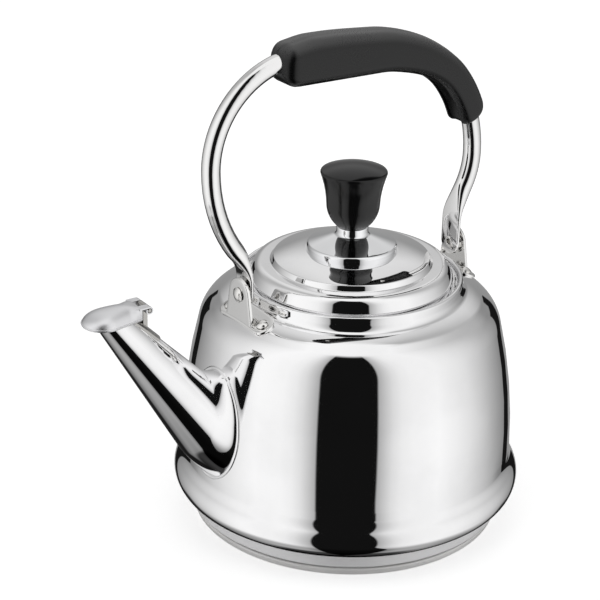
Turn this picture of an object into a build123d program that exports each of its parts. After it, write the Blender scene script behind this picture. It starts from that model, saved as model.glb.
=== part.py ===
from build123d import *
from math import acos, asin, atan2, cos, degrees, hypot, radians, sin, sqrt, tan
import os

# Stovetop whistling kettle. Millimetres, +Z up, origin in the middle of the resting face.
# The spout points along -X, and the bail stands in the XZ plane.

# Steel sheet
sheet = 0.8
running_gap = 0.08
seat_gap = 0.02

# Largest radius of the body, at the bulge of the bottom pan
bulge_max_r = 92.1

# Base cap and heat spreader
base_inset = 12.1
base_r = bulge_max_r - base_inset
base_h = 6.9
base_edge_r = 1.5
base_flare = 72.0
spreader_inset = 2.0
spreader_r = base_r - spreader_inset

# Bottom pan: foot step, bulged skirt and the crease where the wall is welded on
foot_step = 3.5
foot_r = base_r + foot_step
foot_edge_r = 1.6
foot_bend_r = 1.0
bulge_bend_r = 9.65
bulge_z = 22.2
crease_r = 8.5
seam_z = 35.5

# Wall, shoulder and neck
wall_inset = 4.8
wall_r = bulge_max_r - wall_inset
wall_straight_z = 39.3
wall_arc_r = 280.8
wall_lean = 14.6
shoulder_arc_r = 12.4
cone_lean = 50.7
shoulder_w = 29.3
collar_r = wall_r - shoulder_w
shoulder_top_w = 6.5
shoulder_top_arc_r = 12.5
shoulder_top_lean = 71.7
collar_bend_r = 3.0
rim_r = 1.2
rim_z = 132.4
ledge_z = 129.6
ledge_bend_r = 0.9
mouth_inset = 7.6
mouth_r = collar_r - mouth_inset
lip_bend_r = 1.4
lip_depth = 4.5

# Spout, its weld bead and the strainer behind it
spout_root_out = 0.8
spout_root_x = wall_r + spout_root_out
spout_root_z = 70.0
spout_rise = 52.1
spout_root_r = 18.97
spout_tip_r = 8.03
spout_length = 86.2
spout_mouth_z = 138.6
bead_w = 1.6
bead_h = 1.2
strainer_hole_r = 2.5
strainer_pitch = 7.0
strainer_drop = 2.4

# Whistle cap and its hinge
mouth_x = spout_root_x + (spout_mouth_z - spout_root_z) / tan(radians(spout_rise))
cap_front_r = 10.4
cap_front_out = 4.8
cap_front_x = mouth_x + cap_front_out
cap_rear_in = 12.9
cap_rear_x = mouth_x - cap_rear_in
cap_rear_half_w = 6.9
cap_h = 7.2
cap_crown_z = spout_mouth_z + cap_h
cap_round_r = 5.2
cap_sheet = 0.7
hinge_in = 17.0
hinge_x = mouth_x - hinge_in
hinge_h = 4.3
hinge_z = spout_mouth_z + hinge_h
knuckle_r = 1.95
pin_r = 0.9
lug_half_w = 2.5
lug_gap = 0.4
lug_t = 2.4
saddle_half_w = 6.0
saddle_length = 13.0
whistle_plate_t = 0.6
whistle_hole_r = 1.8
cup_r = 6.2
cup_h = 2.4
cup_t = 0.5

# Bail ears, their rivets and the pivots
pivot_above_rim = 3.45
pivot_z = rim_z + pivot_above_rim
arm_out = 7.5
arm_x = collar_r + arm_out
arm_t = 2.2
arm_w = 14.0
washer_t = 1.2
washer_r = 5.5
ear_t = 1.6
ear_top_r = 8.6
ear_foot_half_w = 11.6
flange_t = 1.2
flange_edge_out = 7.5
flange_edge_x = arm_x + flange_edge_out
flange_edge_half_w = 8.5
lobe_in = 1.1
lobe_x = arm_x - lobe_in
lobe_y = 14.6
lobe_r = 5.6
rivet_r = 2.0
rivet_head_r = 3.2
rivet_head_h = 1.3
rivet_gap = 0.08
pivot_r = 2.2
pivot_head_r = 3.9
pivot_head_h = 1.5
pivot_bore_r = 1.5
eyelet_r = 2.9
eyelet_t = 0.5

# Bail tube: bends are listed from the front foot over the top to the rear foot
tube_r = 4.75
tube_wall = 1.0
front_out = 20.2
front_reach = arm_x + front_out
front_foot_bend_r = 30.0
front_side_bend_r = 76.0
front_top_bend_r = 49.3
front_widest_z = 204.2
rear_out = 11.5
rear_reach = arm_x + rear_out
rear_top_bend_r = 68.0
rear_side_bend_r = 40.0
rear_foot_bend_r = 20.0
rear_foot_run = 11.0
rear_widest_z = 184.6

# Grip
grip_w = 20.5
grip_above = 7.6
grip_below = 13.0
grip_front_in = 38.7
grip_front_x = front_reach - grip_front_in
grip_turn = 74.0
grip_front_corner_r = 4.5
grip_tail_corner_r = 7.0
grip_edge_r = 2.6
inlay_w = 12.6
inlay_start = 7.0
inlay_recess = 0.9
inlay_gap = 0.1
tube_gap = 0.05
screw_r = 1.6
screw_head_r = 3.0
screw_head_h = 2.2
screw_front = 20.0
screw_rear_share = 0.5
screw_bite = 5.6

# Lid
lid_inset = 5.2
lid_r = collar_r - lid_inset
lid_foot_h = 1.0
lid_foot_bend_r = 2.0
lid_band_lean = 22.0
lid_ring_h = 9.7
lid_edge_r = 5.0
lid_ring_w = 11.3
lid_step_r = lid_r - lid_ring_w
lid_step_h = 3.0
lid_step_lean = 64.0
lid_step_bend_r = 0.9
lid_dome_slope = 8.7
lid_seat_r = 24.2
lid_seat_bend_r = 2.0
skirt_gap = 0.5
skirt_depth = 8.6
skirt_lean = 45.0
skirt_bend_r = 1.6
skirt_flange_w = 2.4

# Knob, its plate and its screw
plate_r = 23.3
plate_rim_h = 1.7
plate_rim_bend_r = 5.0
plate_slope = 17.5
plate_neck_r = 8.3
plate_neck_bend_r = 1.2
plate_neck_h = 1.6
plate_sheet = 1.0
knob_foot_r = 8.0
knob_foot_heading = 39.2
knob_belly_bend_r = 15.65
knob_belly_heading = 87.8
knob_flare_bend_r = 53.6
knob_flare_heading = 72.2
knob_flare_run = 2.7
knob_rim_bend_r = 1.2
knob_dome_slope = 10.0
knob_screw_r = 2.0
knob_screw_bite = 14.0
knob_screw_head_r = 4.0
knob_screw_head_h = 2.4
knob_washer_r = 9.0
knob_washer_t = 1.0

side_view = Plane.XZ


def bent_strip(start, heading, steps, thickness):
    """Outer and inner edges of a bent strip: runs and tangent bends from a start point.

    A positive thickness lies to the left of the walk. Steps are ("run", length),
    ("to_r", radius), ("to_z", height) or ("bend", radius, degrees to the left).
    """
    angle = radians(heading)
    point = Vector(*start)
    inner_point = point + Vector(-sin(angle), cos(angle)) * thickness
    outer = []
    inner = []
    for step in steps:
        ahead = Vector(cos(angle), sin(angle))
        if step[0] == "bend":
            turn = 1 if step[2] > 0 else -1
            outer.append(JernArc(point, ahead, step[1], step[2]))
            inner.append(JernArc(inner_point, ahead, step[1] - turn * thickness, step[2]))
            angle += radians(step[2])
        else:
            lengths = {"run": lambda v: v, "to_r": lambda v: (v - point.X) / ahead.X,
                       "to_z": lambda v: (v - point.Y) / ahead.Y}
            length = lengths[step[0]](step[1])
            outer.append(Line(point, point + ahead * length))
            inner.append(Line(inner_point, inner_point + ahead * length))
        point = outer[-1] @ 1
        inner_point = inner[-1] @ 1
    return outer, inner


def strip_face(start, heading, steps, thickness):
    """Section of a bent sheet of the given thickness."""
    outer, inner = bent_strip(start, heading, steps, thickness)
    ends = [Line(outer[0] @ 0, inner[0] @ 0), Line(outer[-1] @ 1, inner[-1] @ 1)]
    return make_face(outer + inner + ends)


def turned(face):
    """Solid of revolution about Z of a section drawn as radius and height."""
    return revolve(side_view * face, Axis.Z)


def outline_face(points):
    """Face inside a closed line of points."""
    return make_face(Polyline(*points, close=True))


def rod(start, direction, radius, length):
    """Round rod from a start point along a direction."""
    plane = Plane(origin=start, z_dir=direction)
    return extrude(plane * Circle(radius), length)


def domed_head(start, direction, radius, height):
    """Low domed rivet head standing on a point."""
    ball_r = (radius ** 2 + height ** 2) / (2 * height)
    section = make_face([Line((0, 0), (radius, 0)), RadiusArc((radius, 0), (0, height), -ball_r),
                         Line((0, height), (0, 0))])
    return Plane(origin=start, z_dir=direction) * turned(section)


def save(name, shape):
    """Write one piece, or a group of like pieces, under its own name."""
    export_step(shape, f"parts/{name}.step")


os.makedirs("parts", exist_ok=True)

# Base cap: pressed cup that holds the spreader and stands on the stove
base_steps = [("run", base_r), ("bend", base_edge_r, base_flare), ("to_z", base_h)]
base_cap = turned(strip_face((0, 0), 0, base_steps, sheet))
base_cap &= extrude(Circle(2 * base_r), base_h)
save("base_cap", base_cap)

# Heat spreader: aluminium disc between the cap's floor and the pan's floor
spreader = Pos(0, 0, sheet) * extrude(Circle(spreader_r), base_h - sheet)
save("heat_spreader", spreader)

# Bottom pan: floor, foot step, bulge and the crease, walked from the axis outwards
bulge_r0 = bulge_max_r - bulge_bend_r
underside_heading = degrees(asin((foot_r + foot_bend_r - bulge_r0) / (bulge_bend_r + foot_bend_r)))
foot_top_z = bulge_z - (bulge_bend_r + foot_bend_r) * cos(radians(underside_heading))
crease_heading = 180 - degrees(asin((wall_r + crease_r - bulge_r0) / (bulge_bend_r + crease_r)))
pan_steps = [
    ("to_r", foot_r - foot_edge_r),
    ("bend", foot_edge_r, 90),
    ("to_z", foot_top_z),
    ("bend", foot_bend_r, underside_heading - 90),
    ("bend", bulge_bend_r, crease_heading - underside_heading),
    ("bend", crease_r, 90 - crease_heading),
    ("to_z", seam_z),
]
bottom_pan = turned(strip_face((0, base_h), 0, pan_steps, sheet))
save("bottom_pan", bottom_pan)

# Body shell: wall, shoulder, collar, folded rim, lid ledge and lip, walked upwards
wall_steps = [
    ("to_z", wall_straight_z),
    ("bend", wall_arc_r, wall_lean),
    ("bend", shoulder_arc_r, cone_lean - wall_lean),
    ("to_r", collar_r + shoulder_top_w),
    ("bend", shoulder_top_arc_r, shoulder_top_lean - cone_lean),
    ("to_r", collar_r + collar_bend_r * (1 - cos(radians(shoulder_top_lean)))),
]
neck_steps = [
    ("bend", collar_bend_r, -shoulder_top_lean),
    ("to_z", rim_z - rim_r),
    ("bend", rim_r, 180),
    ("to_z", ledge_z + ledge_bend_r),
    ("bend", ledge_bend_r, -90),
    ("to_r", mouth_r + lip_bend_r),
    ("bend", lip_bend_r, 90),
    ("to_z", ledge_z - lip_depth),
]
wall_start = (wall_r, seam_z)
body_shell = turned(strip_face(wall_start, 90, wall_steps + neck_steps, sheet))


def filled_section(edges):
    """Section of all the space between a bent strip's outer edges and the axis."""
    foot = edges[0] @ 0
    top = edges[-1] @ 1
    closing = [Line(top, (0, top.Y)), Line((0, top.Y), (0, foot.Y))]
    if foot.X > 0:
        closing.append(Line((0, foot.Y), foot))
    return make_face(edges + closing)


# The space inside the outer surface of pan and wall trims what is welded onto them
pan_outer = bent_strip((0, base_h), 0, pan_steps, sheet)[0]
wall_outer = bent_strip(wall_start, 90, wall_steps, sheet)[0]
core = turned(filled_section(pan_outer)) + turned(filled_section(wall_outer))
cone_foot = wall_outer[3] @ 0
cone_slope = 1 / tan(radians(cone_lean))


def cone_height(radius):
    """Height of the shoulder's outer cone at a radius."""
    return cone_foot.Y + (cone_foot.X - radius) * cone_slope


# Spout: tapered tube, cut to the wall at its root and level at its mouth
spout_axis = Vector(-cos(radians(spout_rise)), 0, sin(radians(spout_rise)))
spout_root = Vector(-spout_root_x, 0, spout_root_z)
spout_taper = (spout_root_r - spout_tip_r) / spout_length
spout_run_in = spout_root_r * 2
spout_run_out = spout_tip_r * 2


def spout_cone(grow):
    """Spout's cone, its wall moved outwards by grow, run on past both ends."""
    spread = grow * hypot(1, spout_taper)
    plane = Plane(origin=spout_root - spout_axis * spout_run_in, z_dir=spout_axis)
    low_r = spout_root_r + spread + spout_taper * spout_run_in
    high_r = spout_tip_r + spread - spout_taper * spout_run_out
    length = spout_run_in + spout_length + spout_run_out
    return plane * Cone(low_r, high_r, length, align=(Align.CENTER, Align.CENTER, Align.MIN))


below_mouth = Pos(-spout_root_x - spout_length / 2, 0, spout_mouth_z) * Box(
    spout_length * 4, spout_root_r * 6, spout_mouth_z * 4, align=(Align.CENTER, Align.CENTER, Align.MAX))
spout_outside = spout_cone(0)
spout_tube = (spout_outside - spout_cone(-sheet)) & below_mouth
front_half = Box(base_r * 6, base_r * 6, rim_z * 4, align=(Align.MAX, Align.CENTER, Align.CENTER))
spout = (spout_tube - core) & front_half
save("spout", spout)

# Weld bead: low ring on the wall and the crease round the spout's root
crease_start = pan_outer[-2] @ 0
bead_band = turned(strip_face(wall_start, 90, wall_steps, -bead_h))
bead_band += turned(strip_face(crease_start, crease_heading, pan_steps[-2:], -bead_h))
spout_bead = (spout_cone(bead_w) - spout_outside) & bead_band & front_half
save("spout_bead", spout_bead)

# Strainer: ring pattern of holes through the wall behind the spout
strainer_spots = [(0, 0)]
for ring in (1, 2):
    count = 6 * ring
    for index in range(count):
        turn = 360 / count * index
        strainer_spots.append((ring * strainer_pitch * cos(radians(turn)),
                               ring * strainer_pitch * sin(radians(turn))))
for across, up in strainer_spots:
    start = (-wall_r - bead_h, across, spout_root_z - strainer_drop + up)
    body_shell -= rod(start, (1, 0, 0), strainer_hole_r, wall_r / 2)

# Ears: a plate that stands beside each arm, bent out of a flange that lies on the shoulder
ear_inner_x = arm_x + arm_t / 2 + washer_t + 2 * seat_gap
ear_outer_x = ear_inner_x + ear_t
flange_shell = turned(strip_face(wall_start, 90, wall_steps, -flange_t))
ear_foot_z = cone_height(ear_outer_x) - flange_t
ear_outline = make_hull((Circle(ear_top_r) + outline_face([
    (-ear_foot_half_w, ear_foot_z - pivot_z), (ear_foot_half_w, ear_foot_z - pivot_z),
    (0, 0)])).edges())
ear_plane = Plane(origin=(ear_inner_x, 0, pivot_z), x_dir=(0, 1, 0), z_dir=(1, 0, 0))
ear_plate = extrude(ear_plane * ear_outline, ear_t) - core
flange_outline = make_hull((Pos(lobe_x, lobe_y) * Circle(lobe_r) + Pos(lobe_x, -lobe_y) * Circle(lobe_r)
                            + Pos(flange_edge_x - lobe_r, 0)
                            * Rectangle(2 * lobe_r, 2 * flange_edge_half_w)).edges())
flange = extrude(flange_outline, rim_z) & flange_shell
lobe_radius = hypot(lobe_x, lobe_y)
lobe_z = cone_height(lobe_radius)
cone_normal_r = cos(radians(cone_lean))
cone_normal_z = sin(radians(cone_lean))
ear = ear_plate + flange
ear -= rod((ear_inner_x - ear_t, 0, pivot_z), (1, 0, 0), pivot_r + seat_gap, 3 * ear_t)
ear_rivets = []
for side in (-1, 1):
    spot = Vector(lobe_x, side * lobe_y, lobe_z)
    normal = Vector(lobe_x / lobe_radius * cone_normal_r, side * lobe_y / lobe_radius * cone_normal_r,
                    cone_normal_z)
    under = spot - normal * (sheet + rivet_gap)
    over = spot + normal * (flange_t + rivet_gap)
    hole = rod(spot - normal * 4 * sheet, normal, rivet_r + seat_gap, 8 * sheet)
    ear -= hole
    body_shell -= hole
    body_shell -= hole.mirror(Plane.YZ)
    shank_length = (over - under).length
    rivet = rod(under, normal, rivet_r, shank_length)
    rivet += domed_head(over, normal, rivet_head_r, rivet_head_h)
    rivet += domed_head(under, normal * -1, rivet_head_r, rivet_head_h)
    ear_rivets.append(rivet)
save("body_shell", body_shell)

# Pivot rivet: domed head outside the ear, tube through washer and arm, rolled eyelet inside
arm_inner_x = arm_x - arm_t / 2
eyelet_x = arm_inner_x - seat_gap
pivot_rivet = rod((eyelet_x, 0, pivot_z), (1, 0, 0), pivot_r, ear_outer_x + seat_gap - eyelet_x)
pivot_rivet += domed_head((ear_outer_x + seat_gap, 0, pivot_z), (1, 0, 0), pivot_head_r, pivot_head_h)
pivot_rivet += rod((eyelet_x - eyelet_t, 0, pivot_z), (1, 0, 0), eyelet_r, eyelet_t)
pivot_rivet -= rod((eyelet_x - eyelet_t, 0, pivot_z), (1, 0, 0), pivot_bore_r, arm_t + washer_t)
washer = rod((arm_x + arm_t / 2 + seat_gap, 0, pivot_z), (1, 0, 0), washer_r, washer_t)
washer -= rod((arm_inner_x, 0, pivot_z), (1, 0, 0), pivot_r + seat_gap, 4 * arm_t)
save("ear_rear", ear)
save("ear_front", ear.mirror(Plane.YZ))
save("ear_rivets_rear", Compound(children=ear_rivets))
save("ear_rivets_front", Compound(children=[rivet.mirror(Plane.YZ) for rivet in ear_rivets]))
save("pivot_rivet_rear", pivot_rivet)
save("pivot_rivet_front", pivot_rivet.mirror(Plane.YZ))
save("pivot_washers", Compound(children=[washer, washer.mirror(Plane.YZ)]))

# Hinge bracket: saddle on the spout's upper side, with a lug up to the pin
hinge = Vector(-hinge_x, 0, hinge_z)
saddle_strip = Pos(-hinge_x, 0, spout_mouth_z) * Box(
    2 * saddle_length, 2 * saddle_half_w, saddle_length, align=(Align.CENTER, Align.CENTER, Align.MAX))
saddle = (spout_cone(sheet) - spout_outside) & saddle_strip
spout_low_plane = Plane(origin=spout_root, x_dir=(0, 1, 0), z_dir=spout_axis.cross(Vector(0, 1, 0)))
spout_low_half = extrude(spout_low_plane * Rectangle(spout_length * 4, spout_length * 4), spout_length)
saddle -= spout_low_half
lug = rod(hinge - Vector(0, lug_half_w, 0), (0, 1, 0), knuckle_r, 2 * lug_half_w)
lug += Pos(-hinge_x, 0, hinge_z) * Box(
    lug_t, 2 * lug_half_w, 2 * saddle_length, align=(Align.CENTER, Align.CENTER, Align.MAX))
hinge_bracket = saddle + (lug - spout_outside - spout_low_half)
hinge_bracket -= rod(hinge - Vector(0, lug_half_w * 2, 0), (0, 1, 0), pin_r + seat_gap, lug_half_w * 4)
save("hinge_bracket", hinge_bracket)
hinge_pin = rod(hinge - Vector(0, cap_rear_half_w, 0), (0, 1, 0), pin_r, 2 * cap_rear_half_w)
save("hinge_pin", hinge_pin)

# Whistle: plate that rests on the mouth, cup on the plate, cap over both
cap_rim_z = spout_mouth_z + whistle_plate_t


def cap_outline(inset):
    """Plan of the cap: round front, sides that draw in to a straight rear edge."""
    front = Pos(-cap_front_x, 0) * Circle(cap_front_r - inset)
    half_w = cap_rear_half_w - inset
    rear_x = -cap_rear_x - inset
    rear = [(rear_x, -half_w), (rear_x, half_w), (-cap_front_x, 0)]
    return make_hull((front + outline_face(rear)).edges())


def cap_block(inset):
    """Solid under the cap's rounded top, its walls and roof drawn in by inset."""
    block = Pos(0, 0, cap_rim_z) * extrude(cap_outline(inset), cap_crown_z - inset - cap_rim_z)
    return fillet(block.faces().sort_by(Axis.Z)[-1].edges(), cap_round_r - inset)


lip = Pos(-hinge_x, 0, hinge_z + knuckle_r) * Box(
    cap_rear_x - hinge_x + cap_round_r, 2 * cap_rear_half_w, cap_sheet,
    align=(Align.MAX, Align.CENTER, Align.MAX))
whistle_cap = cap_block(0) - cap_block(cap_sheet)
whistle_cap += lip - cap_block(cap_sheet)
for side in (-1, 1):
    knuckle_start = hinge + Vector(0, side * (lug_half_w + lug_gap), 0)
    whistle_cap += rod(knuckle_start, (0, side, 0), knuckle_r, cap_rear_half_w - lug_half_w - lug_gap)
whistle_cap -= rod(hinge - Vector(0, 2 * cap_rear_half_w, 0), (0, 1, 0), pin_r + running_gap,
                   4 * cap_rear_half_w)
lug_slot = Pos(-hinge_x, 0, hinge_z) * Box(
    2 * (knuckle_r + lug_gap), 2 * (lug_half_w + lug_gap), 8 * knuckle_r)
whistle_cap -= lug_slot
save("whistle_cap", whistle_cap)
whistle_spot = Pos(-mouth_x, 0, spout_mouth_z)
whistle_base = Pos(0, 0, spout_mouth_z) * extrude(cap_outline(0), whistle_plate_t)
whistle_base -= whistle_spot * Cylinder(whistle_hole_r, 4 * whistle_plate_t)
save("whistle_base", whistle_base)
cup = Pos(-mouth_x, 0, cap_rim_z) * (
    extrude(Circle(cup_r), cup_h) - extrude(Circle(cup_r - cup_t), cup_h - cup_t))
cup -= whistle_spot * Cylinder(whistle_hole_r, 8 * cup_h)
save("whistle_cup", cup)

# Bail tube: front foot, two bends outwards and back, over the top and down to the rear foot


def swan_lean(offset, bends, run):
    """Lean of a sideways step made of a bend, a straight run and a bend back."""
    reach = hypot(bends, run)
    return degrees(atan2(bends, run) + asin((offset - bends) / reach))


front_lean = degrees(acos(1 - (front_reach - arm_x) / (front_foot_bend_r + front_side_bend_r)))
rear_lean = swan_lean(rear_reach - arm_x, rear_foot_bend_r + rear_side_bend_r, rear_foot_run)
front_bend_z = front_widest_z - (front_foot_bend_r + front_side_bend_r) * sin(radians(front_lean))
rear_bend_z = (rear_widest_z - (rear_foot_bend_r + rear_side_bend_r) * sin(radians(rear_lean))
               - rear_foot_run * cos(radians(rear_lean)))
front_top = Vector(-front_reach + front_top_bend_r, front_widest_z)
rear_top = Vector(rear_reach - rear_top_bend_r, rear_widest_z)
between = rear_top - front_top
bend_step = rear_top_bend_r - front_top_bend_r
top_tilt = degrees(atan2(between.Y, between.X) + asin(bend_step / between.length))
top_run = sqrt(between.length ** 2 - bend_step ** 2)
tube_start = (-arm_x, front_bend_z)
tube_steps = [
    ("bend", front_foot_bend_r, front_lean),
    ("bend", front_side_bend_r, -front_lean),
    ("bend", front_top_bend_r, top_tilt - 90),
    ("run", top_run),
    ("bend", rear_top_bend_r, -90 - top_tilt),
    ("bend", rear_side_bend_r, -rear_lean),
    ("run", rear_foot_run),
    ("bend", rear_foot_bend_r, rear_lean),
]
tube_path = bent_strip(tube_start, 90, tube_steps, tube_r)[0]
round_path = side_view * Wire(tube_path[1:6])


def tube_section(point, ahead, half_t, half_w, bow_t, bow_w):
    """Four-sided section across the tube: corners, and sides bowed out to bow_t and bow_w."""
    corners = [(half_t, half_w), (-half_t, half_w), (-half_t, -half_w), (half_t, -half_w)]
    middles = [(0, bow_w), (-bow_t, 0), (0, -bow_w), (bow_t, 0)]
    sides = []
    for index, middle in enumerate(middles):
        ends = (corners[index], corners[(index + 1) % 4])
        flat = abs(middle[0]) == half_t or abs(middle[1]) == half_w
        sides.append(Line(*ends) if flat else ThreePointArc(ends[0], middle, ends[1]))
    plane = Plane(origin=(point.X, 0, point.Y), x_dir=(-ahead.Y, 0, ahead.X), z_dir=(ahead.X, 0, ahead.Y))
    return plane * make_face(sides)


def flattened_end(strap_point, strap_ahead, middle_point, middle_ahead, round_point, round_ahead):
    """Stretch where the round tube is pressed flat, from the strap to the round section."""
    corner = tube_r / sqrt(2)
    half_t = arm_t / 2
    half_w = arm_w / 2
    strap = tube_section(strap_point, strap_ahead, half_t, half_w, half_t, half_w)
    middle = tube_section(middle_point, middle_ahead, (half_t + corner) / 2, (half_w + corner) / 2,
                          (half_t + tube_r) / 2, (half_w + tube_r) / 2)
    full = tube_section(round_point, round_ahead, corner, corner, tube_r, tube_r)
    return loft([strap, middle, full])


def strap_end(side, bend_z):
    """Flat strap with a round end about the pivot."""
    plane = Plane(origin=(side * arm_x - arm_t / 2, 0, pivot_z), x_dir=(0, 1, 0), z_dir=(1, 0, 0))
    outline = Circle(arm_w / 2) + Pos(0, (bend_z - pivot_z) / 2) * Rectangle(arm_w, bend_z - pivot_z)
    return extrude(plane * outline, arm_t)


front_bend = tube_path[0]
rear_bend = tube_path[7]
rear_run = tube_path[6]
round_start = Plane(origin=round_path @ 0, z_dir=round_path % 0)
full_tube = sweep(round_start * Circle(tube_r), path=round_path)
tube_bore = sweep(round_start * Circle(tube_r - tube_wall), path=round_path)
bail_tube = full_tube - tube_bore
bail_tube += flattened_end(front_bend @ 0, front_bend % 0, front_bend @ 0.5, front_bend % 0.5,
                           front_bend @ 1, front_bend % 1)
bail_tube += flattened_end(rear_bend @ 1, rear_bend % 1, rear_bend @ 0, rear_bend % 0,
                           rear_run @ 0, rear_run % 0)
bail_tube += strap_end(-1, front_bend_z) + strap_end(1, rear_bend_z)
bail_tube -= rod((-2 * arm_x, 0, pivot_z), (1, 0, 0), pivot_r + running_gap, 4 * arm_x)

# Grip: moulding round the tube's top, open below for an inlay held by two screws
top_line = tube_path[3]
top_bend = tube_path[4]
top_ahead = top_line % 0
top_side = Vector(-top_ahead.Y, top_ahead.X)
grip_start = top_line @ 0 + top_ahead * ((-grip_front_x - (top_line @ 0).X) / top_ahead.X)
grip_run = ((top_line @ 1) - grip_start).length
grip_face = strip_face(grip_start + top_side * grip_above, top_tilt,
                       [("run", grip_run), ("bend", rear_top_bend_r + grip_above, -grip_turn)],
                       -grip_above - grip_below)
grip_block = extrude(side_view * grip_face, grip_w / 2, both=True)
cross_edges = grip_block.edges().filter_by(Axis.Y)
grip_block = fillet(cross_edges.sort_by(Axis.X)[:2], grip_front_corner_r)
cross_edges = grip_block.edges().filter_by(Axis.Y)
grip_block = fillet(cross_edges.sort_by(Axis.Z)[:2], grip_tail_corner_r)
side_faces = grip_block.faces().sort_by(Axis.Y)
grip_block = fillet(side_faces[0].edges() + side_faces[-1].edges(), grip_edge_r)
inlay_from = grip_start + top_ahead * inlay_start
inlay_bend = ("bend", rear_top_bend_r, -grip_turn)
channel = extrude(side_view * strip_face(
    inlay_from, top_tilt, [("run", grip_run - inlay_start), inlay_bend, ("run", grip_tail_corner_r)],
    -2 * grip_below), inlay_w / 2, both=True)
inlay_face = strip_face(inlay_from + top_ahead * inlay_gap, top_tilt,
                        [("run", grip_run - inlay_start - inlay_gap), inlay_bend],
                        inlay_recess - grip_below)
inlay = extrude(side_view * inlay_face, inlay_w / 2 - inlay_gap, both=True)
tube_space = sweep(round_start * Circle(tube_r + tube_gap), path=round_path)
grip_upper = grip_block - channel - tube_space
grip_lower = inlay - tube_space
screws = []
screw_spots = [(grip_start + top_ahead * screw_front, top_side)]
rear_spot = top_bend @ (screw_rear_share * grip_turn / (90 + top_tilt))
rear_side = (rear_spot - rear_top).normalized()
screw_spots.append((rear_spot, rear_side))
for spot, out in screw_spots:
    axis = Vector(out.X, 0, out.Y)
    middle = Vector(spot.X, 0, spot.Y)
    head = middle - axis * (grip_below - inlay_recess)
    seat = head + axis * screw_head_h
    screw_length = grip_below - inlay_recess - screw_head_h + screw_bite
    screws.append(rod(head, axis, screw_head_r, screw_head_h) + rod(seat, axis, screw_r, screw_length))
    hole = rod(head, axis, screw_r + tube_gap, screw_length + screw_head_h + seat_gap)
    grip_upper -= hole
    grip_lower -= hole
    bail_tube -= hole
    grip_lower -= rod(head - axis * screw_head_h, axis, screw_head_r + tube_gap, 2 * screw_head_h)
save("bail_tube", bail_tube)
save("grip_upper", grip_upper)
save("grip_lower", grip_lower)
save("grip_screws", Compound(children=screws))

# Lid cover: leaning band that stands on the ledge, round edge, flat ring, step and low dome
lid_top_z = ledge_z + lid_ring_h
step_steps = [
    ("run", lid_foot_h),
    ("bend", lid_foot_bend_r, lid_band_lean),
    ("to_z", lid_top_z - lid_edge_r * (1 - sin(radians(lid_band_lean)))),
    ("bend", lid_edge_r, 90 - lid_band_lean),
    ("to_r", lid_step_r + lid_step_bend_r),
    ("bend", lid_step_bend_r, -lid_step_lean),
    ("to_z", lid_top_z + lid_step_h),
    ("bend", lid_step_bend_r, lid_step_lean - lid_dome_slope),
    ("to_r", lid_seat_r),
    ("bend", lid_seat_bend_r, lid_dome_slope),
]
lid_outer = bent_strip((lid_r, ledge_z), 90, step_steps, sheet)[0]
lid_seat = lid_outer[-1] @ 1
lid_steps = step_steps + [("to_r", knob_screw_r + running_gap)]
lid_cover = turned(strip_face((lid_r, ledge_z), 90, lid_steps, sheet))
save("lid_cover", lid_cover)

# Lid skirt: ring spot-welded under the lid's flat ring, which centres it in the neck
skirt_r = mouth_r - skirt_gap
skirt_low_z = ledge_z - skirt_depth
skirt_top_z = lid_top_z - sheet
flat_edge_r = (lid_outer[3] @ 1).X
low_tangent = skirt_bend_r * tan(radians(skirt_lean / 2))
top_tangent = skirt_bend_r * tan(radians(45 - skirt_lean / 2))
skirt_corner_r = flat_edge_r + top_tangent
elbow_z = skirt_top_z - (skirt_r - skirt_corner_r) / tan(radians(skirt_lean))
skirt_steps = [
    ("to_z", elbow_z - low_tangent),
    ("bend", skirt_bend_r, skirt_lean),
    ("to_r", skirt_corner_r + top_tangent * sin(radians(skirt_lean))),
    ("bend", skirt_bend_r, 90 - skirt_lean),
    ("run", skirt_flange_w),
]
lid_skirt = turned(strip_face((skirt_r, skirt_low_z), 90, skirt_steps, sheet))
save("lid_skirt", lid_skirt)

# Knob plate: pressed rosette with a rounded rim and a short neck under the knob
plate_z = lid_seat.Y
plate_steps = [
    ("run", plate_rim_h),
    ("bend", plate_rim_bend_r, 90 - plate_slope),
    ("to_r", plate_neck_r + plate_neck_bend_r * (1 - sin(radians(plate_slope)))),
    ("bend", plate_neck_bend_r, plate_slope - 90),
    ("run", plate_neck_h),
    ("bend", plate_sheet + seat_gap, 90),
    ("to_r", knob_screw_r + running_gap),
]
plate_outer = bent_strip((plate_r, plate_z), 90, plate_steps, plate_sheet)[0]
plate_top_z = (plate_outer[-1] @ 1).Y
knob_plate = turned(strip_face((plate_r, plate_z), 90, plate_steps, plate_sheet))
save("knob_plate", knob_plate)

# Knob: tulip-shaped moulding with a low domed top
knob_steps = [
    ("bend", knob_belly_bend_r, knob_belly_heading - knob_foot_heading),
    ("bend", knob_flare_bend_r, knob_flare_heading - knob_belly_heading),
    ("run", knob_flare_run),
    ("bend", knob_rim_bend_r, 180 - knob_dome_slope - knob_flare_heading),
]
knob_side = bent_strip((knob_foot_r, 0), knob_foot_heading, knob_steps, sheet)[0]
knob_edge = knob_side[-1]
dome_r = (knob_edge @ 1).X / sin(radians(knob_dome_slope))
knob_top = JernArc(knob_edge @ 1, knob_edge % 1, dome_r, knob_dome_slope)
knob_crown = (0, (knob_top @ 1).Y)
knob_section = make_face(knob_side + [knob_top, Line(knob_crown, (0, 0)), Line((0, 0), (knob_foot_r, 0))])
knob = Pos(0, 0, plate_top_z) * turned(knob_section)
knob -= rod((0, 0, plate_top_z), (0, 0, 1), knob_screw_r + seat_gap, knob_screw_bite + seat_gap)
save("knob", knob)

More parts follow.
